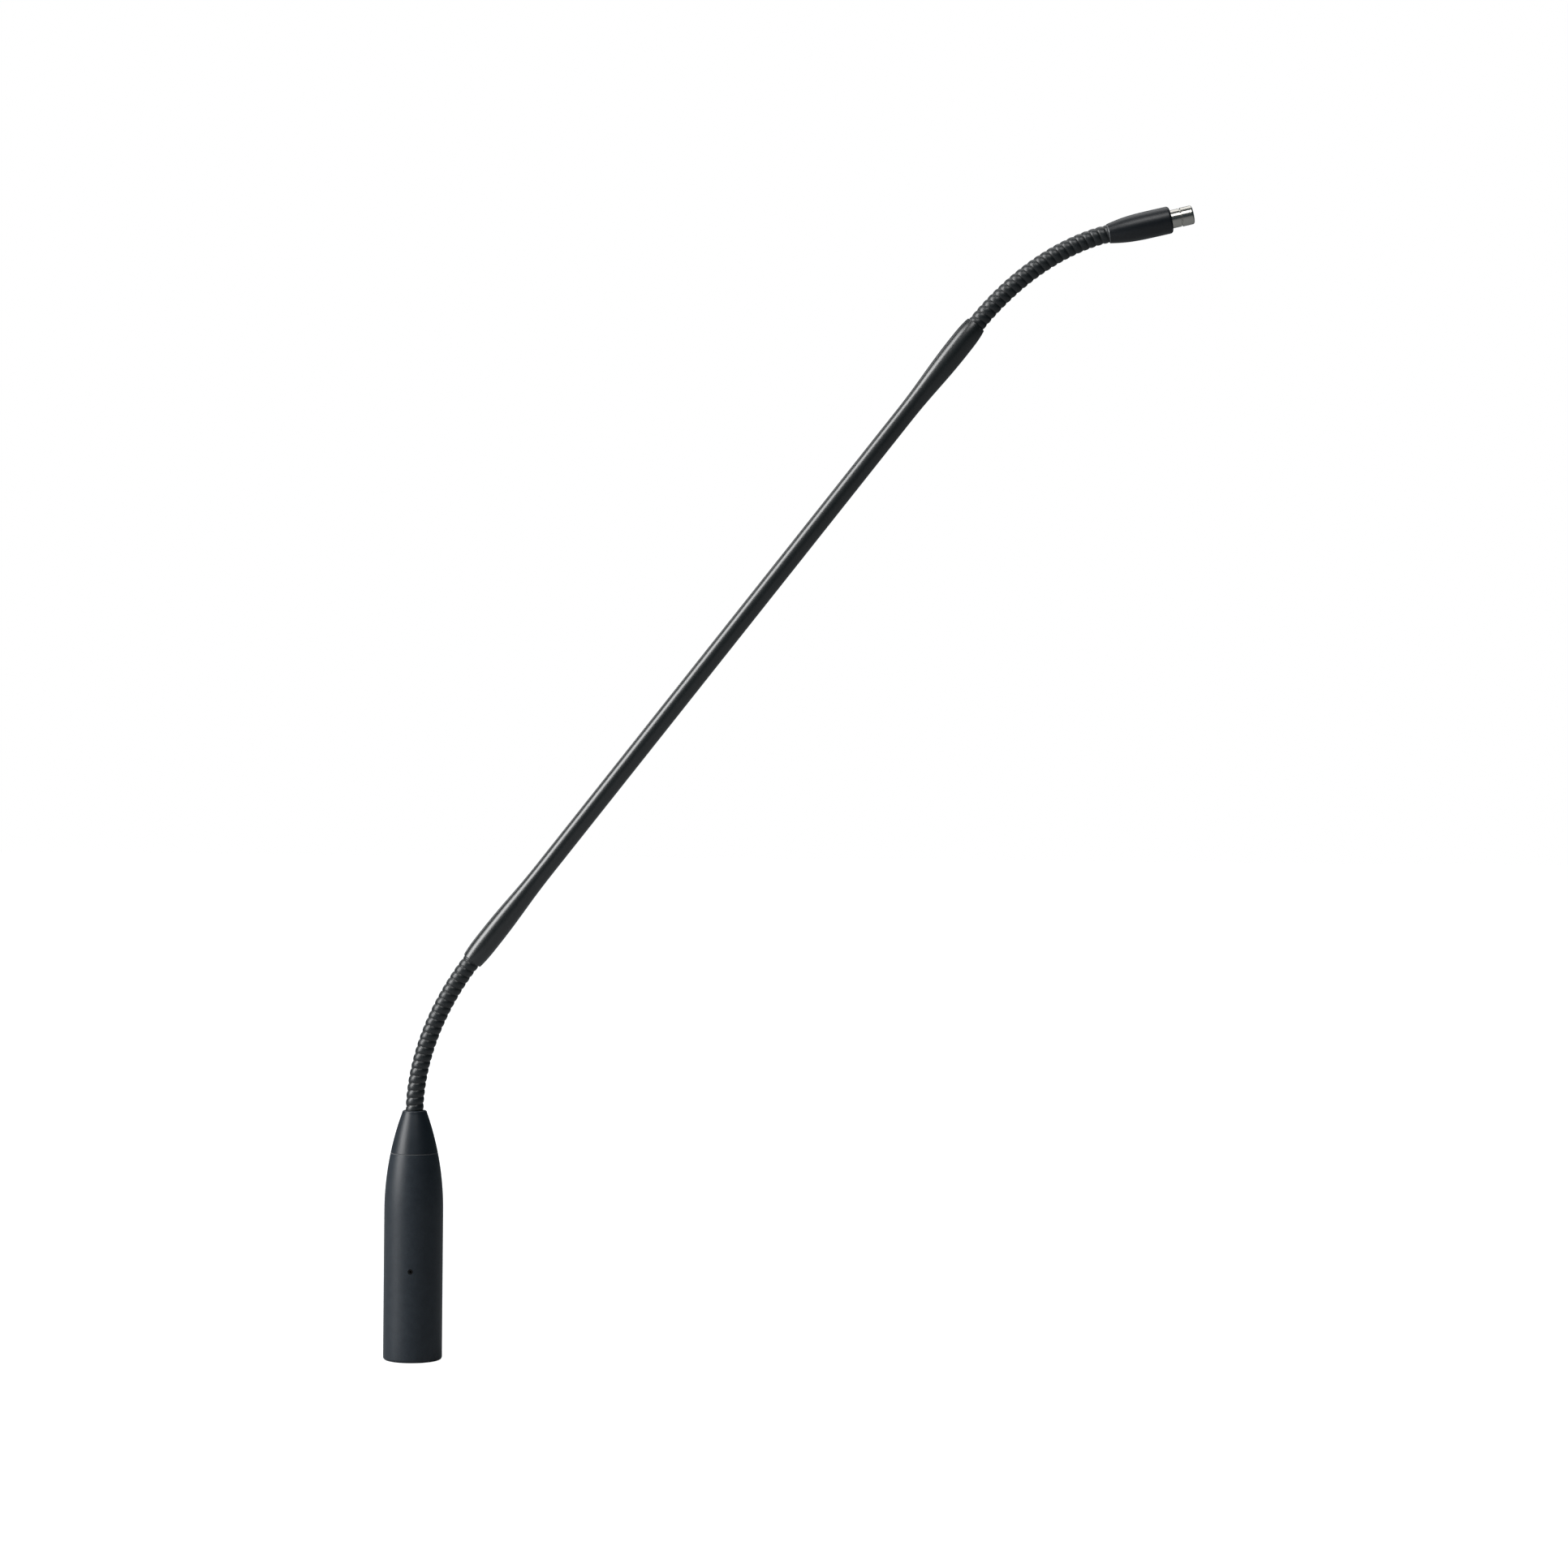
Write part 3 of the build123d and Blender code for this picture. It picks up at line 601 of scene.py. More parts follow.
@dataclass(frozen=True)
class Finish:
    """One surface finish, made as a procedural material.

    The colours are linear. Scales are per metre.
    """

    name: str
    colour: Triple
    mottle: Triple
    roughness: tuple[float, float]
    metallic: float = 0.0
    specular: float = 0.5
    fine_scale: float = 5000.0
    mottle_scale: float = 220.0
    relief: float = 0.1
    relief_depth: float = 0.02 * MM
    coordinates: Coordinates = Coordinates.OBJECT
    turning_axis: Triple | None = None
    turning_scale: float = 9000.0
    # Painted shade: a darker colour laid into the grooves between turns, towards each groove's
    # bottom.
    painted_groove_shade: Triple | None = None
    groove_softness: float = 0.5

    def material(self) -> Material:
        """Build the material once, and give it again when it is asked for later.

        Returns:
            The material.
        """
        found = bpy.data.materials.get(self.name)
        if found is not None:
            return found
        made = bpy.data.materials.new(self.name)
        made.use_nodes = True
        tree = made.node_tree
        place = tree.nodes.new("ShaderNodeTexCoord").outputs[self.coordinates.value]
        grain = self._effect(
            tree,
            "surface_grain",
            {
                "Vector": place,
                "Fine Scale": self.fine_scale,
                "Mottle Scale": self.mottle_scale,
                "Colour": self.colour,
                "Mottle Colour": self.mottle,
                "Roughness Low": self.roughness[0],
                "Roughness High": self.roughness[1],
            },
        )
        colour, height = grain["Colour"], grain["Height"]
        if self.turning_axis is not None:
            lines = {"Axis": self.turning_axis, "Lines Scale": self.turning_scale}
            height = self._effect(tree, "turning_lines", {"Vector": place, **lines})["Height"]
        # Paint shade into the grooves where the finish asks for it.
        if self.painted_groove_shade is not None:
            colour = self._paint_groove_shade(tree, colour)
        relief = {"Strength": self.relief, "Distance": self.relief_depth, "Height": height}
        bump = add_node(tree, "ShaderNodeBump", relief)
        feed(
            tree,
            tree.nodes["Principled BSDF"].inputs,
            {
                "Base Color": colour,
                "Roughness": grain["Roughness"],
                "Normal": bump.outputs["Normal"],
                "Metallic": self.metallic,
                "Specular IOR Level": self.specular,
            },
        )
        return made

    def _effect(self, tree: NodeTree, group: str, inputs: dict[str, Given]) -> NodeOutputs:
        """Place a shared effect with this finish's values.

        Args:
            tree: The material's node tree.
            group: The effect's node group.
            inputs: What each of its inputs takes.

        Returns:
            The effect's outputs.
        """
        shared = bpy.data.node_groups[group]
        return add_node(tree, "ShaderNodeGroup", inputs, node_tree=shared).outputs

    def _paint_groove_shade(self, tree: NodeTree, colour: NodeSocket) -> NodeSocket:
        """Paint shade into the grooves between turns, darker towards each groove's bottom, read
        from the mesh's own crest height.

        Args:
            tree: The material's node tree.
            colour: The crests' colour.

        Returns:
            The colour all over, with the painted shade in the grooves.
        """
        crest = add_node(tree, "ShaderNodeAttribute", {}, attribute_name=CREST).outputs["Fac"]
        share = maths(tree, "POWER", crest, self.groove_softness)
        return blended(tree, share, self.painted_groove_shade, colour)


def dress(piece: Object, finish: Finish) -> None:
    """Give a piece its finish, and its highlight rows the lighter finish that paints a highlight
    line.

    Args:
        piece: The piece.
        finish: The finish of all the rest of it.
    """
    piece.data.materials.append(finish.material())
    if any(face.material_index for face in piece.data.polygons):
        piece.data.materials.append(PAINTED_HIGHLIGHT_EDGE.material())


def dress_node(name: str, finish: Finish) -> None:
    """Give a node of the frame one finish all over.

    Args:
        name: The node's name.
        finish: Its finish.
    """
    node = frame["nodes"][name]
    if not node.material_slots:
        node.data.materials.append(finish.material())
    for place in node.material_slots:
        place.material = finish.material()


HOUSING = Finish(
    "blasted_anodised_black",
    colour=(0.0015, 0.0046, 0.0090),
    mottle=(0.0200, 0.0270, 0.0350),
    roughness=(0.40, 0.50),
    specular=0.42,
    fine_scale=2600.0,
    mottle_scale=420.0,
    relief=0.45,
    relief_depth=0.035 * MM,
)
NOSE = Finish(
    "satin_anodised_black",
    colour=(0.0025, 0.0055, 0.0095),
    mottle=(0.0150, 0.0205, 0.0270),
    roughness=(0.37, 0.45),
    specular=0.42,
    fine_scale=3200.0,
    mottle_scale=300.0,
    relief=0.2,
)
# Painted highlight: a lighter, part-metallic finish for thin rows along the housing's seam and the
# holder's rear lip. It stands in for the glint of light on those edges.
PAINTED_HIGHLIGHT_EDGE = Finish(
    "painted_highlight_edge",
    colour=(0.10, 0.105, 0.11),
    mottle=(0.16, 0.165, 0.17),
    roughness=(0.30, 0.42),
    metallic=0.6,
    fine_scale=2400.0,
    mottle_scale=700.0,
)
STEM = Finish(
    "satin_gloss_lacquer",
    colour=(0.0014, 0.0030, 0.0036),
    mottle=(0.0022, 0.0042, 0.0048),
    roughness=(0.30, 0.34),
    specular=0.9,
    fine_scale=1400.0,
    mottle_scale=45.0,
    relief=0.01,
)
COIL = Finish(
    "lacquered_coil",
    colour=(0.0032, 0.0056, 0.0070),
    mottle=(0.0052, 0.0080, 0.0096),
    roughness=(0.36, 0.44),
    specular=0.62,
    fine_scale=2600.0,
    mottle_scale=300.0,
    coordinates=Coordinates.UV,
    # Painted shade: the grooves between turns are coloured darker than the crests.
    painted_groove_shade=(0.0014, 0.0022, 0.0027),
)
HOLDER = Finish(
    "satin_lacquer",
    colour=(0.0016, 0.0030, 0.0052),
    mottle=(0.0028, 0.0044, 0.0070),
    roughness=(0.35, 0.42),
    fine_scale=2800.0,
    mottle_scale=260.0,
    relief=0.12,
)
NICKEL = Finish(
    "turned_nickel",
    colour=(0.55, 0.53, 0.49),
    mottle=(0.46, 0.44, 0.40),
    roughness=(0.17, 0.24),
    metallic=1.0,
    fine_scale=2500.0,
    mottle_scale=420.0,
    relief=0.03,
    relief_depth=0.01 * MM,
)
INSERT = Finish(
    "moulded_black", (0.020, 0.021, 0.023), (0.026, 0.027, 0.030), (0.42, 0.55), relief=0.25
)
SILVER = Finish(
    "silver_plating", (0.80, 0.79, 0.75), (0.70, 0.69, 0.64), (0.16, 0.30), metallic=1.0,
    relief=0.08, mottle_scale=600.0,
)
STEEL = Finish(
    "plain_steel", (0.33, 0.33, 0.34), (0.24, 0.24, 0.25), (0.28, 0.42), metallic=1.0, relief=0.12
)
BLACK_SCREW = Finish(
    "blackened_steel", (0.0012, 0.0013, 0.0015), (0.002, 0.0021, 0.0023), (0.5, 0.62), specular=0.2
)
LAMINATE = Finish(
    "glass_fibre_laminate", (0.015, 0.13, 0.055), (0.02, 0.19, 0.08), (0.28, 0.42),
    fine_scale=1800.0, relief=0.15,
)
MOULDED_CHIP = Finish(
    "moulded_component", (0.014, 0.014, 0.015), (0.022, 0.022, 0.023), (0.45, 0.6), relief=0.2
)
CAN = Finish(
    "drawn_aluminium", (0.68, 0.68, 0.70), (0.60, 0.60, 0.62), (0.22, 0.34), metallic=1.0,
    relief=0.08,
)
FERRITE = Finish("ferrite", (0.10, 0.10, 0.11), (0.14, 0.14, 0.15), (0.5, 0.7), relief=0.3)
SLEEVE = Finish("pale_sleeve", (0.50, 0.45, 0.33), (0.56, 0.51, 0.39), (0.4, 0.55))
COPPER = Finish(
    "tinned_copper", (0.70, 0.58, 0.48), (0.60, 0.48, 0.38), (0.2, 0.35), metallic=1.0, relief=0.08
)
JACKET = Finish(
    "cable_jacket", (0.018, 0.018, 0.019), (0.024, 0.024, 0.025), (0.5, 0.62), relief=0.15,
    coordinates=Coordinates.UV,
)
BRASS = Finish(
    "plain_brass", (0.76, 0.57, 0.26), (0.66, 0.48, 0.20), (0.2, 0.34), metallic=1.0, relief=0.08
)
INSULATOR = Finish(
    "natural_insulation", (0.70, 0.68, 0.62), (0.76, 0.74, 0.69), (0.4, 0.55)
)
FILM = Finish(
    "metallised_film", (0.80, 0.68, 0.36), (0.74, 0.62, 0.31), (0.12, 0.2), metallic=1.0,
    relief=0.03,
)
CLOTH = Finish(
    "acoustic_cloth", (0.02, 0.02, 0.021), (0.05, 0.05, 0.052), (0.7, 0.9), fine_scale=9000.0,
    relief=0.6,
)


# --- the neck's line


def hinge_points(section: str) -> list[Vector]:
    """The hinges of one flexible section, in order from the plug to the head."""
    return [Vector(j["pos_m"]) for j in frame["joints"] if j["name"].startswith(section)]


def chain(section: str) -> list[str]:
    """The bodies that a flexible section joins, from its first to its last."""
    own = [j for j in frame["joints"] if j["name"].startswith(section)]
    return [own[0]["parent"]] + [j["child"] for j in own]


@dataclass
class FlexSection:
    """A wound flexible section: one run of turns, cut halfway between hinges."""

    name: str
    finish: Finish = COIL
    ridge_radius: float = 2.9 * MM
    groove_radius: float = 2.6 * MM
    bore_radius: float = 1.35 * MM
    cable_radius: float = 1.1 * MM
    rows_per_turn: int = 18
    segments: int = 60
    bore_rows: int = 8
    cable_rows: int = 7
    turns_per_piece: int = 2
    crest_power: float = 2.3
    normal_step_turns: float = 0.02
    normal_step_angle: float = 0.03

    def __post_init__(self) -> None:
        """Read the section's line from the frame's hinges."""
        self.hinges = hinge_points(self.name)
        self.bodies = chain(self.name)
        self.pitch = (self.hinges[1] - self.hinges[0]).length / self.turns_per_piece
        first = UP if self.bodies[0] == "root" else stem_direction()
        last = stem_direction() if self.bodies[-1] == "stem" else head_direction()
        middles = [(a + b) / 2 for a, b in zip(self.hinges, self.hinges[1:])]
        self.start = Station(self.hinges[0] - first * self.pitch, first)
        self.end = Station(self.hinges[-1] + last * self.pitch, last)
        self.cuts = [self.start.origin, *middles, self.end.origin]

    def station(self, turn: float) -> Station:
        """The station on the section's smooth line after a number of turns.

        Args:
            turn: Number of turns from the section's start.

        Returns:
            The station.
        """
        pieces = len(self.hinges)
        number = min(max(int(turn / self.turns_per_piece), 0), pieces - 1)
        t = turn / self.turns_per_piece - number
        a, b, c = self.cuts[number], self.hinges[number], self.cuts[number + 1]
        origin = a * (1 - t) ** 2 + b * 2 * t * (1 - t) + c * t * t
        ahead = ((b - a) * (1 - t) + (c - b) * t).normalized()
        return Station(origin, ahead)

    def crest(self, turn: float, angle: float) -> float:
        """How high the surface stands at a place, from 0 in a groove to 1 on a crest."""
        phase = (turn - angle / math.tau) % 1.0
        return 1.0 - abs(2.0 * phase - 1.0) ** self.crest_power

    def surface(self, turn: float, angle: float) -> Vector:
        """Point of the wound surface.

        Args:
            turn: Number of turns from the section's start.
            angle: Angle round the line.

        Returns:
            The point.
        """
        height = self.ridge_radius - self.groove_radius
        radius = self.groove_radius + height * self.crest(turn, angle)
        return self.station(turn).place(radius, angle, 0.0)

    def surface_normal(self, turn: float, angle: float) -> Vector:
        """Outward normal of the wound surface, from small steps along and round it.

        Args:
            turn: Number of turns from the section's start.
            angle: Angle round the line.

        Returns:
            The unit normal.
        """
        on, round_it = self.normal_step_turns, self.normal_step_angle
        lengthwise = self.surface(turn + on, angle) - self.surface(turn - on, angle)
        around = self.surface(turn, angle + round_it) - self.surface(turn, angle - round_it)
        return around.cross(lengthwise).normalized()

    def coil_piece(self, number: int) -> Object:
        """Build one piece of the wound coil as a closed ring, from one cut to the next.

        Args:
            number: The piece's number, from 0.

        Returns:
            The piece's object.
        """
        first = number * self.turns_per_piece
        outer_rows = self.turns_per_piece * self.rows_per_turn + 1
        size = self.segments
        angles = circle(size)
        turns = [first + n / self.rows_per_turn for n in range(outer_rows)]
        step = self.turns_per_piece / (self.bore_rows - 1)
        bores = [first + step * n for n in range(self.bore_rows)]
        vertices = [self.surface(turn, angle) for turn in turns for angle in angles]
        crests = [self.crest(turn, angle) for turn in turns for angle in angles]
        for turn in bores:
            line = self.station(turn)
            vertices += [line.place(self.bore_radius, angle, 0.0) for angle in angles]
        crests += [0.0] * (len(vertices) - len(crests))
        outside = [row * size for row in range(outer_rows)]
        inside = [(outer_rows + row) * size for row in range(self.bore_rows)]
        bands = {
            Band.WOUND: list(zip(outside, outside[1:])),
            Band.BORE: list(zip(inside[1:], inside)),
            Band.END: [(inside[0], outside[0]), (outside[-1], inside[-1])],
        }
        faces, kinds = [], []
        for band, rings in bands.items():
            for low, high in rings:
                faces += quads(low, high, size)
                kinds += [band] * size
        piece = new_piece(f"{self.name}_coil_{number + 1:02d}", vertices, faces)
        self._store_crest(piece, crests)
        width = math.tau * self.ridge_radius
        lay_flat(piece, size, width, [(turn - first) * self.pitch for turn in turns + bores])
        self._store_normals(piece, kinds, turns, angles)
        return piece

    def _store_crest(self, piece: Object, crests: Sequence[float]) -> None:
        """Keep each vertex's crest height with the mesh, for the finish's painted groove shade to
        read.

        Args:
            piece: The piece of coil.
            crests: Each vertex's crest height.
        """
        layer = piece.data.attributes.new(CREST, "FLOAT", "POINT")
        layer.data.foreach_set("value", np.array(crests, np.float32))

    def _store_normals(
        self, piece: Object, kinds: Sequence[Band], turns: Sequence[float], angles: Sequence[float]
    ) -> None:
        """Give the wound surface its true normals, so that the cuts between pieces don't show.

        Args:
            piece: The piece of coil.
            kinds: The band that each face belongs to.
            turns: The wound surface's rows, as turns from the section's start.
            angles: The columns' angles round the line.
        """
        mesh = piece.data
        size = self.segments
        mesh.shade_smooth()
        outer = [self.surface_normal(turn, angle) for turn in turns for angle in angles]
        normals = []
        for face, kind in zip(mesh.polygons, kinds):
            for i in face.loop_indices:
                vertex = mesh.loops[i].vertex_index
                if kind is Band.WOUND:
                    normals.append(outer[vertex])
                elif kind is Band.END:
                    normals.append(face.normal.copy())
                else:
                    opposite = mesh.vertices[vertex].co
                    row = (vertex - len(outer)) // size
                    share = row / (self.bore_rows - 1) * self.turns_per_piece
                    centre = self.station(turns[0] + share).origin
                    normals.append((centre - opposite).normalized())
        mesh.normals_split_custom_set([tuple(n) for n in normals])

    def cable_piece(self, number: int) -> Object:
        """Build the signal cable's length inside one piece of the coil.

        Args:
            number: The piece's number, from 0.

        Returns:
            The cable's object.
        """
        first = number * self.turns_per_piece
        rows = self.cable_rows
        stations = [
            self.station(first + self.turns_per_piece * n / (rows - 1)) for n in range(rows)
        ]
        return cable_tube(f"{self.name}_cable_{number + 1:02d}", stations, self.cable_radius)

    def build(self) -> None:
        """Build and dress every piece of the section and its length of cable, and hide the frame's
        links that they replace.
        """
        for number in range(len(self.hinges)):
            before, after = self.bodies[number], self.bodies[number + 1]
            coil = self.coil_piece(number)
            dress(coil, self.finish)
            cable = self.cable_piece(number)
            dress(cable, JACKET)
            if after not in ("stem", "head"):
                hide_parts(f"{self.name}_flex_link_{number + 1:02d}")
            for piece in (coil, cable):
                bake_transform(piece)
                log.info("%s: bends from body %s to %s", piece.name, before, after)


def cable_tube(name: str, stations: Sequence[Station], radius: float) -> Object:
    """Build a solid round cable through stations, with closed ends and laid-out UVs.

    Args:
        name: The cable's name.
        stations: The stations that it runs through.
        radius: Its radius.

    Returns:
        The cable's object.
    """
    size = CABLE_SEGMENTS
    vertices = [s.place(radius, angle, 0.0) for s in stations for angle in circle(size)]
    faces = []
    for row in range(len(stations) - 1):
        faces += quads(row * size, (row + 1) * size, size)
    faces += ends(0, (len(stations) - 1) * size, size)
    piece = new_piece(name, vertices, faces)
    smooth(piece.data, CABLE_CREASE_ANGLE)
    run = [0.0]
    for a, b in zip(stations, stations[1:]):
        run.append(run[-1] + (b.origin - a.origin).length)
    lay_flat(piece, size, math.tau * radius, run)
    return piece


def stem_direction() -> Vector:
    """Direction of the straight stem, between the flexible sections' nearest hinges."""
    return (hinge_points("upper")[0] - hinge_points("lower")[-1]).normalized()


def head_direction() -> Vector:
    """Direction of the head, from the last hinge to the middle of the diaphragm's ring.

    Returns:
        The unit direction.
    """
    low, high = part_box("diaphragm_ring")
    middle = (low + high) / 2
    return (middle - hinge_points("upper")[-1]).normalized()


# --- stem


@dataclass
class Stem:
    """The rigid stem with its swelled ends, the ferrules in them and the cable through it."""

    lower: FlexSection
    upper: FlexSection
    radius: float = 3.0 * MM
    bore_radius: float = 2.2 * MM
    socket_radius: float = 2.7 * MM
    socket_depth: float = 14.0 * MM
    swell_length: float = 38.0 * MM
    crest: float = 9.0 * MM
    lower_swell: float = 3.75 * MM
    upper_swell: float = 3.85 * MM
    lip_radius: float = 3.35 * MM
    lip_edge: float = 0.4 * MM
    clearance: float = 0.05 * MM
    spigot_length: float = 10.0 * MM
    segments: int = 128
    ferrule_segments: int = 64

    def end_profile(self, swell: float) -> list[Point]:
        """Draw the outside of one end, from its lip over its swell to the plain tube.

        Args:
            swell: Radius of the swell's crest.

        Returns:
            Its points, with heights counted from the lip.
        """
        lip, edge, crest, ease = self.lip_radius, self.lip_edge, self.crest, self.swell_length / 3
        rise = [(lip, edge), (swell, crest / 3), (swell, crest * 2 / 3), (swell, crest)]
        fall = [
            (swell, crest),
            (swell, crest + ease),
            (self.radius, self.swell_length - ease),
            (self.radius, self.swell_length),
        ]
        outside = arc((lip - edge, edge), edge, -90.0, 0.0, EDGE_STEPS)
        return outside + bezier(rise, CURVE_STEPS)[1:] + bezier(fall, 2 * CURVE_STEPS)[1:]

    def profile(self) -> list[Point]:
        """Draw the tube's outline.

        Returns:
            Its points, from the lower socket round the outside to the upper socket.
        """
        total, depth = self.length, self.socket_depth
        outside = self.end_profile(self.lower_swell)
        upper = reversed(self.end_profile(self.upper_swell))
        outside += [(radius, total - height) for radius, height in upper]
        inside = [
            (self.socket_radius, total),
            (self.socket_radius, total - depth),
            (self.bore_radius, total - depth),
            (self.bore_radius, depth),
            (self.socket_radius, depth),
            (self.socket_radius, 0.0),
        ]
        return outside + inside

    @property
    def length(self) -> float:
        """Length between the stem's two lips."""
        return (self.upper.start.origin - self.lower.end.origin).length

    def ferrule(self, name: str, lip: Station) -> Object:
        """Build a ferrule that holds a coil's end: a plug in the socket, a spigot in the bore.

        Args:
            name: The ferrule's name.
            lip: The stem's lip, facing into the stem.

        Returns:
            The ferrule's object.
        """
        gap, depth = self.clearance, self.socket_depth
        steps = [
            (self.socket_radius - gap, gap, depth),
            (self.bore_radius - gap, depth, depth + self.spigot_length),
        ]
        outline = stepped(self.lower.bore_radius, steps)
        return turned(name, outline, lip, self.ferrule_segments)

    def build(self) -> None:
        """Build the tube, its two ferrules and the cable inside it."""
        foot = self.lower.end
        top = Station(self.upper.start.origin, -self.upper.start.ahead)
        shaft = turned("stem_shaft", self.profile(), foot, self.segments)
        fit(shaft, STEM, "stem_black", "stem", "stem_tube")
        for name, node, lip in (
            ("lower_coil_anchor", "lower_stem_ferrule", foot),
            ("upper_coil_anchor", "upper_stem_ferrule", top),
        ):
            fit(self.ferrule(name, lip), STEEL, "flex_black", "stem", node)
        stations = [foot, Station(top.origin, foot.ahead)]
        cable = cable_tube("stem_cable", stations, self.lower.cable_radius)
        fit(cable, JACKET, "cable_jacket", "stem")


# --- plug


@dataclass
class Plug:
    """The plug housing with its connector, its electronics and the coil's anchor in its nose."""

    lower: FlexSection
    radius: float = 9.5 * MM
    bore_radius: float = 8.0 * MM
    rim_edge: float = 1.0 * MM
    inner_edge: float = 0.3 * MM
    wall_top: float = 47.0 * MM
    seam: float = 65.7 * MM
    seam_chamfer: float = 0.16 * MM
    thread_radius: float = 6.6 * MM
    thread_bottom: float = 50.2 * MM
    cap_bottom: float = 51.7 * MM
    cap_bore_radius: float = 5.0 * MM
    cap_shoulder: float = 69.0 * MM
    nose_radius: float = 4.0 * MM
    nose_edge: float = 0.7 * MM
    mouth_radius: float = 3.15 * MM
    screw_height: float = 28.4 * MM
    screw_hole_radius: float = 0.85 * MM
    hole_margin: float = 1.5
    window_height: float = 5.2 * MM
    window_size: Point = (4.0 * MM, 3.4 * MM)
    window_corner: float = 0.5 * MM
    window_depth: float = 1.32 * MM
    key_width: float = 2.6 * MM
    key_corner: float = 0.3 * MM
    key_root: float = 0.2 * MM
    key_depth: float = 1.1 * MM
    key_length: float = 12.8 * MM
    mouth_clearance: float = 0.05 * MM
    ferrule_radius: float = 3.10 * MM
    flange_radius: float = 4.95 * MM
    flange_drop: float = 10.4 * MM
    flange_thickness: float = 2.5 * MM
    tail_length: float = 6.5 * MM
    segments: int = 144
    anchor_segments: int = 72
    edge_steps: int = 10
    shell_ogive_steps: int = 26
    cap_ogive_steps: int = 20
    finishes: ClassVar[dict[str, "Finish"]] = {
        "flex_ring_nut": STEEL,
        "xlr_insert": INSERT,
        "contact_pin_1": SILVER,
        "contact_pin_2": SILVER,
        "contact_pin_3": SILVER,
        "ground_spring": STEEL,
        "lock_screw": BLACK_SCREW,
        "board_sleeve": SLEEVE,
        "preamp_board": LAMINATE,
        "board_capacitors": CAN,
        "board_chips": MOULDED_CHIP,
        "output_transistors": MOULDED_CHIP,
        "rf_choke": FERRITE,
        "pin_leads": COPPER,
        "cable_cores": COPPER,
        "cable_clamp": COPPER,
    }

    def __post_init__(self) -> None:
        """Work out the ogive of the nose, tangent to the wall and through the nose's shoulder."""
        self.nose = self.lower.start.origin.z
        rise = self.nose - self.nose_edge - self.wall_top
        inset = self.radius - self.nose_radius
        self.ogive_radius = (rise**2 + inset**2) / (2 * inset)

    def ogive(self, height: float) -> Point:
        """Point of the nose's outline at a height."""
        rise = height - self.wall_top
        return (self.radius - self.ogive_radius + math.sqrt(self.ogive_radius**2 - rise**2), height)

    def ogive_run(self, low: float, high: float, steps: int) -> list[Point]:
        """Points of the nose's outline between two heights, both included.

        Args:
            low: The first height.
            high: The last height.
            steps: Number of chords.

        Returns:
            The points.
        """
        return [self.ogive(low + (high - low) * n / steps) for n in range(steps + 1)]

    def shell(self) -> Object:
        """Build the housing: a turned shell with the latch window and the lock screw's hole.

        Returns:
            The shell's object.
        """
        low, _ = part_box("plug_housing")
        rim, edge, inner = low.z, self.rim_edge, self.inner_edge
        outline = [(self.bore_radius, rim + inner), (self.bore_radius + inner, rim)]
        outline += arc((self.radius - edge, rim + edge), edge, -90.0, 0.0, self.edge_steps)
        screw, around = self.screw_height, self.hole_margin * self.screw_hole_radius
        above_window = self.window_height + self.window_size[1]
        rows = (above_window, screw - around, screw + around, (screw + self.wall_top) / 2)
        outline += [(self.radius, height) for height in rows]
        seam_edge = self.seam - self.seam_chamfer
        outline += self.ogive_run(self.wall_top, seam_edge, self.shell_ogive_steps)
        outline += [
            (self.ogive(self.seam)[0] - self.seam_chamfer, self.seam),
            (self.thread_radius, self.seam),
            (self.thread_radius, self.thread_bottom),
            (self.bore_radius, self.thread_bottom),
        ]
        # The seam's chamfer rows take the painted highlight finish: a light line standing in for
        # the glint along the seam.
        shell = turned(
            "housing_shell", outline, UPRIGHT, self.segments, lambda h: seam_edge < h < self.seam
        )
        inside = Vector((0.0, -self.bore_radius + self.key_depth, screw))
        hole = rod("screw_hole", inside, -ACROSS, self.screw_hole_radius, self.radius)
        cut_out(shell, [hole, self.window()])
        return shell

    def window(self) -> Object:
        """Make the block that cuts the latch window, through the key rib as well.

        Returns:
            The block's object.
        """
        return rounded_block(
            "latch_window",
            Vector((0.0, 0.0, self.window_height)),
            *self.window_size,
            self.window_corner,
            self.bore_radius - self.window_depth,
            self.radius + self.window_depth,
        )

    def key(self) -> Object:
        """Build the key rib inside the shell, in two lengths with the window between them.

        Returns:
            The rib's object.
        """
        wall = self.bore_radius + self.key_root
        rib = rounded_block(
            "shell_key",
            Vector((0.0, 0.0, self.key_length / 2)),
            self.key_width,
            self.key_length,
            self.key_corner,
            self.bore_radius - self.key_depth,
            wall,
        )
        cut_out(rib, [self.window()])
        return rib

    def cap(self) -> Object:
        """Build the nose cap: turned, with a fine chamfer at the seam and a rounded mouth.

        Returns:
            The cap's object.
        """
        spigot = self.thread_radius - self.mouth_clearance
        edge, chamfer, nose = self.nose_edge, self.seam_chamfer, self.nose
        outline = [
            (self.cap_bore_radius, self.cap_bottom),
            (spigot, self.cap_bottom),
            (spigot, self.seam),
            (self.ogive(self.seam)[0] - chamfer, self.seam),
        ]
        seam_edge = self.seam + chamfer
        outline += self.ogive_run(seam_edge, nose - edge, self.cap_ogive_steps)
        mouth = (self.nose_radius - edge, nose - edge)
        outline += arc(mouth, edge, 0.0, 90.0, self.edge_steps)[1:]
        outline += [
            (self.mouth_radius, nose),
            (self.mouth_radius, self.cap_shoulder),
            (self.cap_bore_radius, self.cap_shoulder),
        ]
        # The seam's chamfer rows take the painted highlight finish: a light line standing in for
        # the glint along the seam.
        return turned(
            "nose_shell", outline, UPRIGHT, self.segments, lambda h: self.seam < h < seam_edge
        )

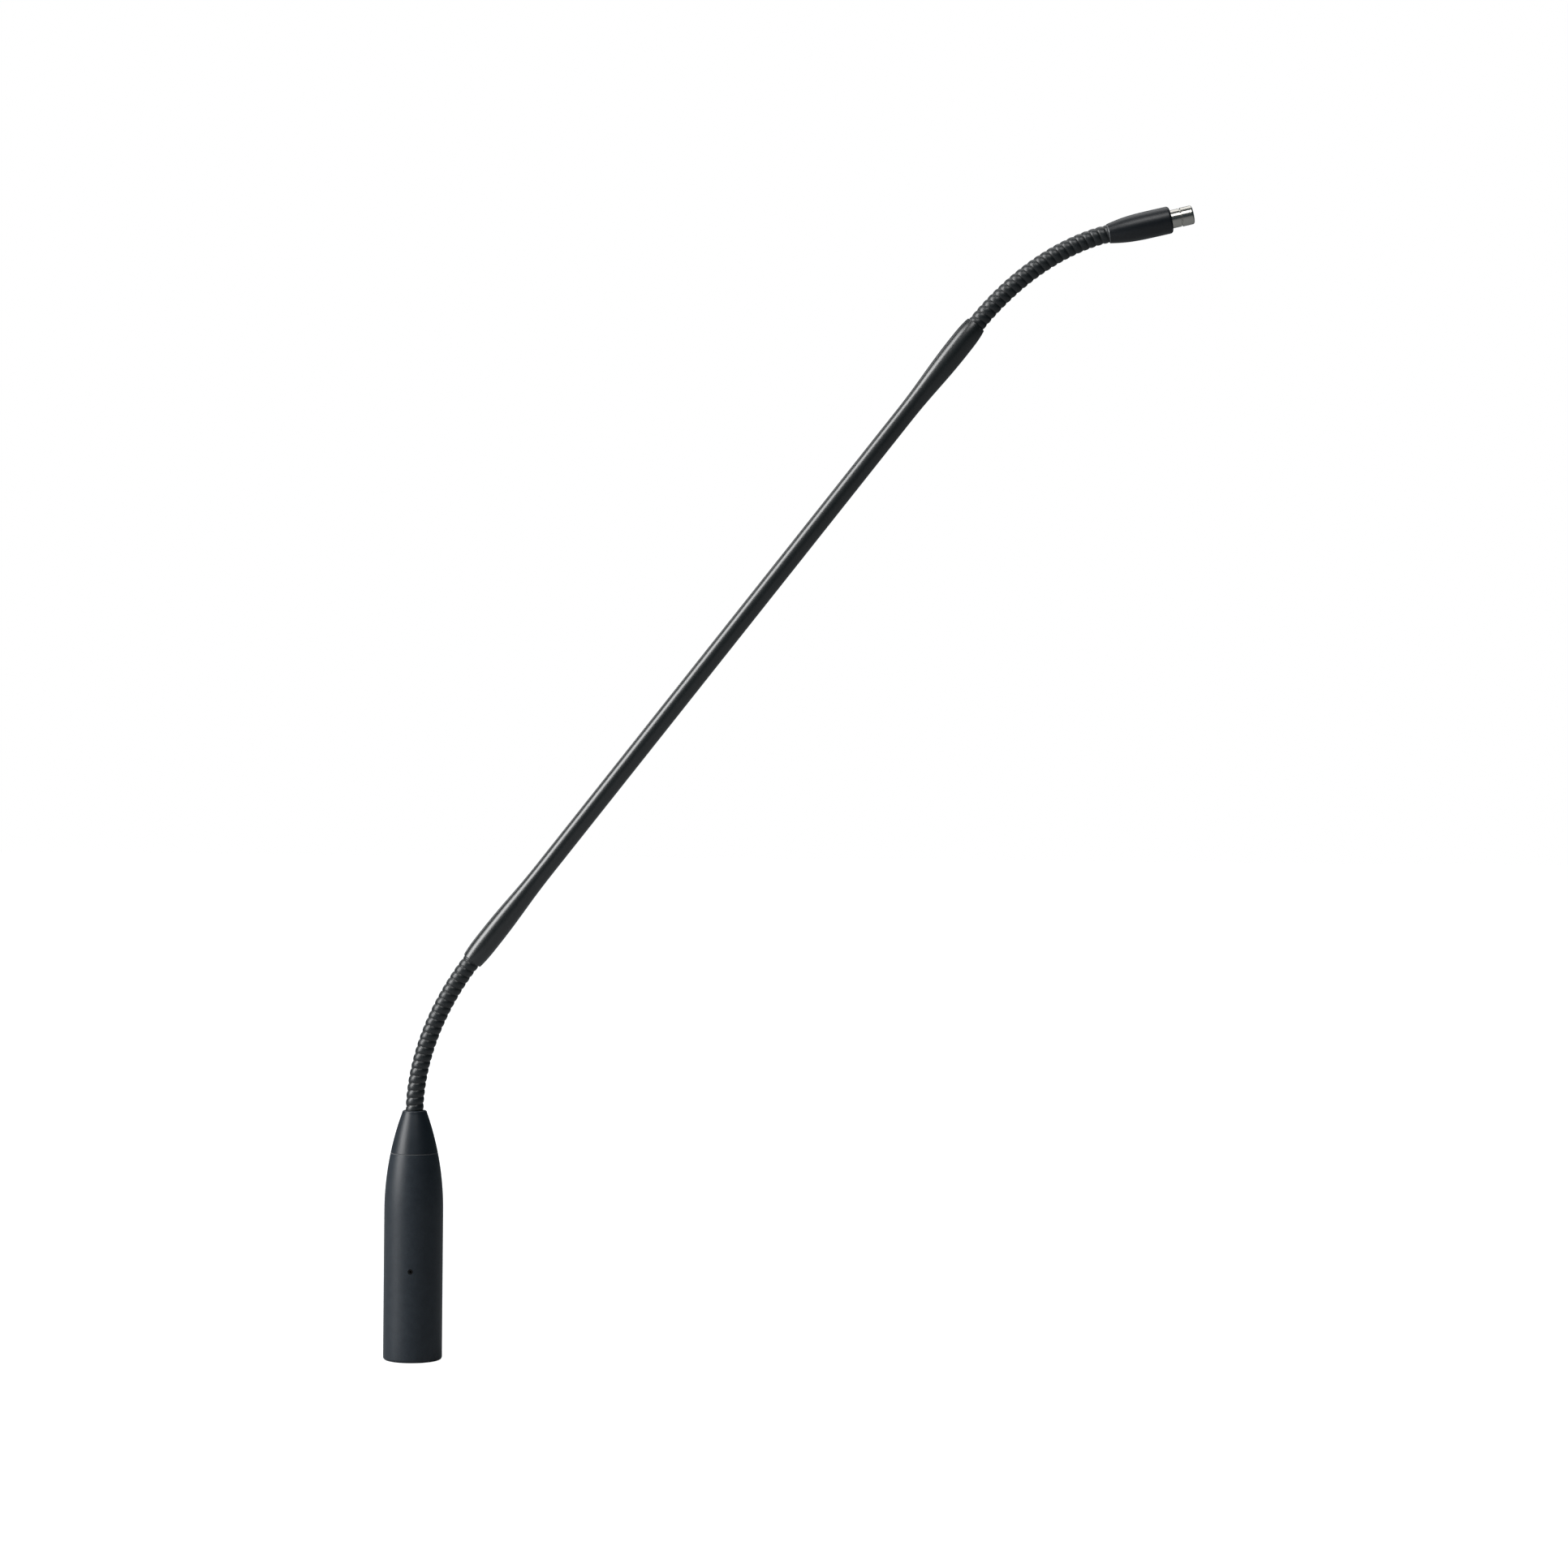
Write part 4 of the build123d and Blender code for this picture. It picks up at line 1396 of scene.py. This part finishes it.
    def anchor(self) -> Object:
        """Build the flanged ferrule that holds the coil's lower end in the nose.

        Returns:
            The ferrule's object.
        """
        shoulder = -self.flange_drop
        foot = shoulder - self.flange_thickness
        steps = [
            (self.ferrule_radius, foot - self.tail_length, foot),
            (self.flange_radius, foot, shoulder),
            (self.ferrule_radius, shoulder, -self.mouth_clearance),
        ]
        outline = stepped(self.lower.bore_radius, steps)
        return turned("nose_coil_anchor", outline, self.lower.start, self.anchor_segments)

    def cable(self) -> Object:
        """Build the signal cable from its clamp up to the nose.

        Returns:
            The cable's object.
        """
        low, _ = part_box("signal_cable")
        foot = Station(Vector((0.0, 0.0, low.z)), self.lower.start.ahead)
        return cable_tube("plug_cable", [foot, self.lower.start], self.lower.cable_radius)

    def build(self) -> None:
        """Dress the plug's nodes and build its shell, cap, anchor and length of cable."""
        for node, finish in self.finishes.items():
            dress_node(node, finish)
        fit(self.shell(), HOUSING, "housing_black", "root", "plug_housing")
        fit(self.key(), HOUSING, "housing_black", "root")
        fit(self.cap(), NOSE, "housing_black", "root", "nose_cap")
        fit(self.anchor(), COIL, "flex_black", "root", "lower_flex_ferrule")
        fit(self.cable(), JACKET, "cable_jacket", "root", "signal_cable")


# --- head


@dataclass
class Head:
    """The head holder and the capsule at the tip."""

    upper: FlexSection
    length: float = 20.8 * MM
    rear_radius: float = 3.2 * MM
    rear_edge: float = 0.4 * MM
    rear_swell: float = 0.8 * MM
    radius: float = 4.4 * MM
    seat_length: float = 6.0 * MM
    front_edge: float = 0.9 * MM
    rear_bore: float = 2.7 * MM
    rear_bore_depth: float = 9.0 * MM
    front_bore: float = 3.0 * MM
    collar_radius: float = 2.95 * MM
    collar_length: float = 3.0 * MM
    collar_depth: float = 7.0 * MM
    collar_bore: float = 2.2 * MM
    groove: float = 0.4 * MM
    spigot_radius: float = 2.6 * MM
    spigot_length: float = 1.6 * MM
    can_radius: float = 3.05 * MM
    can_length: float = 7.3 * MM
    can_edge: float = 0.6 * MM
    can_wall: float = 0.4 * MM
    can_fit: float = 0.02 * MM
    fine_edge: float = 0.08 * MM
    hole_radius: float = 0.32 * MM
    hole_circle: float = 1.45 * MM
    ring_holes: int = 6
    drill_length: float = 1.2 * MM
    anchor_clearance: float = 0.05 * MM
    segments: int = 128
    tip_segments: int = 112
    anchor_segments: int = 64
    grip_steps: int = 28
    can_edge_steps: int = 10
    finishes: ClassVar[dict[str, "Finish"]] = {
        "contact_board": LAMINATE,
        "signal_contact": SILVER,
        "contact_bush": INSERT,
        "capsule_board": LAMINATE,
        "capsule_fet": MOULDED_CHIP,
        "backplate": BRASS,
        "backplate_cup": INSULATOR,
        "spacer_ring": BRASS,
        "diaphragm": FILM,
        "diaphragm_ring": BRASS,
        "dust_screen": CLOTH,
    }

    def holder(self) -> Object:
        """Build the holder: a turned grip that swells from its rear lip to the capsule's seat.

        Returns:
            The holder's object.
        """
        edge, front = self.rear_edge, self.front_edge
        seat = self.length - front - self.seat_length
        outline = [(self.rear_bore, 0.0)]
        outline += arc((self.rear_radius - edge, edge), edge, -90.0, 0.0, EDGE_STEPS)
        swell = [
            (self.rear_radius, edge),
            (self.rear_radius + self.rear_swell, seat / 3),
            (self.radius, seat / 2),
            (self.radius, seat),
        ]
        outline += bezier(swell, self.grip_steps)[1:]
        outline += arc((self.radius - front, self.length - front), front, 0.0, 90.0, CURVE_STEPS)
        outline += [
            (self.front_bore, self.length),
            (self.front_bore, self.rear_bore_depth),
            (self.rear_bore, self.rear_bore_depth),
        ]
        # The rear lip's first rows take the painted highlight finish: a light ring standing in for
        # the glint on the lip.
        return turned(
            "holder_grip", outline, self.upper.end, self.segments, lambda h: 0.0 < h < edge / 2
        )

    def collar(self, tip: Station) -> Object:
        """Build the capsule's collar, with its stud in the holder and its spigot in the can.

        Args:
            tip: The station at the holder's front.

        Returns:
            The collar's object.
        """
        fine = self.fine_edge
        spigot_end = self.collar_length + self.spigot_length
        outline = [
            (self.collar_bore, -self.collar_depth),
            (self.collar_radius, -self.collar_depth),
            (self.collar_radius, self.collar_length - fine),
            (self.collar_radius - fine, self.collar_length),
            (self.spigot_radius, self.collar_length),
            (self.spigot_radius, spigot_end),
            (self.collar_bore, spigot_end),
        ]
        return turned("tip_collar", outline, tip, self.tip_segments)

    def can(self, tip: Station) -> Object:
        """Build the capsule's can: turned, with a rounded front edge and seven sound holes.

        Args:
            tip: The station at the holder's front.

        Returns:
            The can's object.
        """
        fine, edge = self.fine_edge, self.can_edge
        rear = self.collar_length + self.groove
        bore = self.spigot_radius + self.can_fit
        inside = self.can_length - self.can_wall
        outline = [(bore, rear), (self.can_radius - fine, rear), (self.can_radius, rear + fine)]
        rim = (self.can_radius - edge, self.can_length - edge)
        outline += arc(rim, edge, 0.0, 90.0, self.can_edge_steps)
        outline += [(self.hole_radius, self.can_length), (self.hole_radius, inside), (bore, inside)]
        can = turned("tip_can", outline, tip, self.tip_segments)
        holes = []
        for angle in circle(self.ring_holes):
            foot = tip.place(self.hole_circle, angle, inside - self.can_wall)
            holes.append(rod("sound_hole", foot, tip.ahead, self.hole_radius, self.drill_length))
        cut_out(can, holes)
        return can

    def anchor(self) -> Object:
        """Build the ferrule that holds the coil's upper end in the holder.

        Returns:
            The ferrule's object.
        """
        gap = self.anchor_clearance
        steps = [(self.rear_bore - gap, gap, self.rear_bore_depth)]
        outline = stepped(self.upper.bore_radius, steps)
        return turned("head_coil_anchor", outline, self.upper.end, self.anchor_segments)

    def cable(self) -> Object:
        """Build the signal cable from the holder's rear to its contact board.

        Returns:
            The cable's object.
        """
        rear = self.upper.end
        _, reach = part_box("signal_cable")
        length = (reach.x - rear.origin.x) / rear.ahead.x
        return cable_tube("head_cable", [rear, rear.moved(length)], self.upper.cable_radius)

    def build(self) -> None:
        """Dress the head's nodes and build its holder, capsule, anchor and end of cable."""
        for node, finish in self.finishes.items():
            dress_node(node, finish)
        tip = self.upper.end.moved(self.length)
        nickel = replace(NICKEL, turning_axis=tuple(tip.ahead))
        fit(self.holder(), HOLDER, "holder_black", "head", "head_holder")
        fit(self.collar(tip), nickel, "capsule_nickel", "head", "capsule_collar")
        fit(self.can(tip), nickel, "capsule_nickel", "head", "capsule_can")
        fit(self.anchor(), STEEL, "flex_black", "head", "head_ferrule")
        fit(self.cable(), JACKET, "cable_jacket", "head")


# --- studio


@dataclass(frozen=True)
class SoftBox:
    """A soft rectangular light."""

    name: str
    place: Triple
    size: Point
    power: float
    aim: Triple = (0.10, 0.0, 0.20)
    tint: Triple = WHITE

    def build(self) -> None:
        """Make the light and aim it."""
        data = bpy.data.lights.new(self.name, "AREA")
        data.shape = "RECTANGLE"
        data.size, data.size_y = self.size
        data.energy = self.power
        data.color = self.tint
        lamp = add_object(self.name, data)
        lamp.location = self.place
        lamp.rotation_mode = "QUATERNION"
        lamp.rotation_quaternion = (Vector(self.aim) - Vector(self.place)).to_track_quat("-Z", "Y")


@dataclass
class Studio:
    """A pale floor, soft light and a camera level with the middle of the neck."""

    camera_distance: float = 1.195
    camera_place: Point = (0.1183, 0.1857)
    camera_roll: float = -0.0087
    lens: float = 85.0
    sensor_width: float = 36.0
    clip: Point = (0.01, 50.0)
    floor_size: float = 16.0
    fade_start: float = 0.12
    fade_end: float = 0.80
    near_glow: float = 0.95
    floor_colour: Triple = (0.33, 0.34, 0.35)
    floor_roughness: float = 0.85
    surroundings: Triple = (0.045, 0.062, 0.070)
    boxes: tuple[SoftBox, ...] = (
        SoftBox("key_left", (-1.10, -0.50, 0.80), (0.70, 1.50), 34.0),
        SoftBox("top_front", (0.15, -0.85, 1.20), (0.60, 0.45), 5.0),
        SoftBox("rim_left", (-0.75, 0.95, 0.80), (0.35, 1.00), 2.2),
        SoftBox("overhead", (0.10, 0.55, 1.60), (1.20, 1.20), 7.0),
    )

    def camera(self) -> None:
        """Make the camera, a little rolled, looking along +Y."""
        data = bpy.data.cameras.new("studio_camera")
        data.lens = self.lens
        data.sensor_width = self.sensor_width
        data.clip_start, data.clip_end = self.clip
        view = add_object("studio_camera", data)
        view.location = (self.camera_place[0], -self.camera_distance, self.camera_place[1])
        view.rotation_euler = (math.pi / 2, self.camera_roll, 0.0)
        bpy.context.scene.camera = view

    def floor(self) -> None:
        """Lay the floor under the plug's rim, paler further away so that it has no edge."""
        low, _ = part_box("plug_housing")
        half = self.floor_size / 2
        flat = ((-half, -half), (half, -half), (half, half), (-half, half))
        corners = [(x, y, low.z) for x, y in flat]
        floor = new_piece("studio_floor", corners, [(0, 1, 2, 3)])
        made = bpy.data.materials.new("pale_floor")
        made.use_nodes = True
        tree = made.node_tree
        place = tree.nodes.new("ShaderNodeTexCoord").outputs["Object"]
        away = add_node(tree, "ShaderNodeVectorMath", {0: place}, operation="LENGTH")
        fade = add_node(
            tree,
            "ShaderNodeMapRange",
            {
                "Value": away.outputs["Value"],
                "From Min": self.fade_start,
                "From Max": self.fade_end,
                "To Min": self.near_glow,
            },
        )
        seen = tree.nodes.new("ShaderNodeLightPath").outputs["Is Camera Ray"]
        feed(
            tree,
            tree.nodes["Principled BSDF"].inputs,
            {
                "Base Color": self.floor_colour,
                "Roughness": self.floor_roughness,
                "Emission Color": WHITE,
                "Emission Strength": maths(tree, "MULTIPLY", seen, fade.outputs[0]),
            },
        )
        floor.data.materials.append(made)

    def light(self) -> None:
        """Place the soft lights and the even surroundings."""
        for box in self.boxes:
            box.build()
        world = bpy.data.worlds.new("studio_surroundings")
        bpy.context.scene.world = world
        world.use_nodes = True
        tree = world.node_tree
        dim = tree.nodes["Background"]
        feed(tree, dim.inputs, {"Color": self.surroundings})
        white = add_node(tree, "ShaderNodeBackground", {"Color": WHITE})
        seen = tree.nodes.new("ShaderNodeLightPath").outputs["Is Camera Ray"]
        shaders = {0: seen, 1: dim.outputs[0], 2: white.outputs[0]}
        either = add_node(tree, "ShaderNodeMixShader", shaders)
        feed(tree, tree.nodes["World Output"].inputs, {"Surface": either.outputs[0]})

    def build(self) -> None:
        """Set up the whole studio."""
        self.camera()
        self.floor()
        self.light()
        bpy.context.scene.view_settings.view_transform = "Standard"


def main() -> None:
    """Build the studio, then every sub-assembly from the plug to the tip."""
    logging.basicConfig(level=logging.INFO, format="%(message)s")
    build_grain_group()
    build_turning_group()
    lower, upper = FlexSection("lower"), FlexSection("upper")
    for part in (Studio(), lower, upper, Plug(lower), Stem(lower, upper), Head(upper)):
        part.build()
        log.info("%s built", type(part).__name__)


if __name__ == "__main__":
    main()
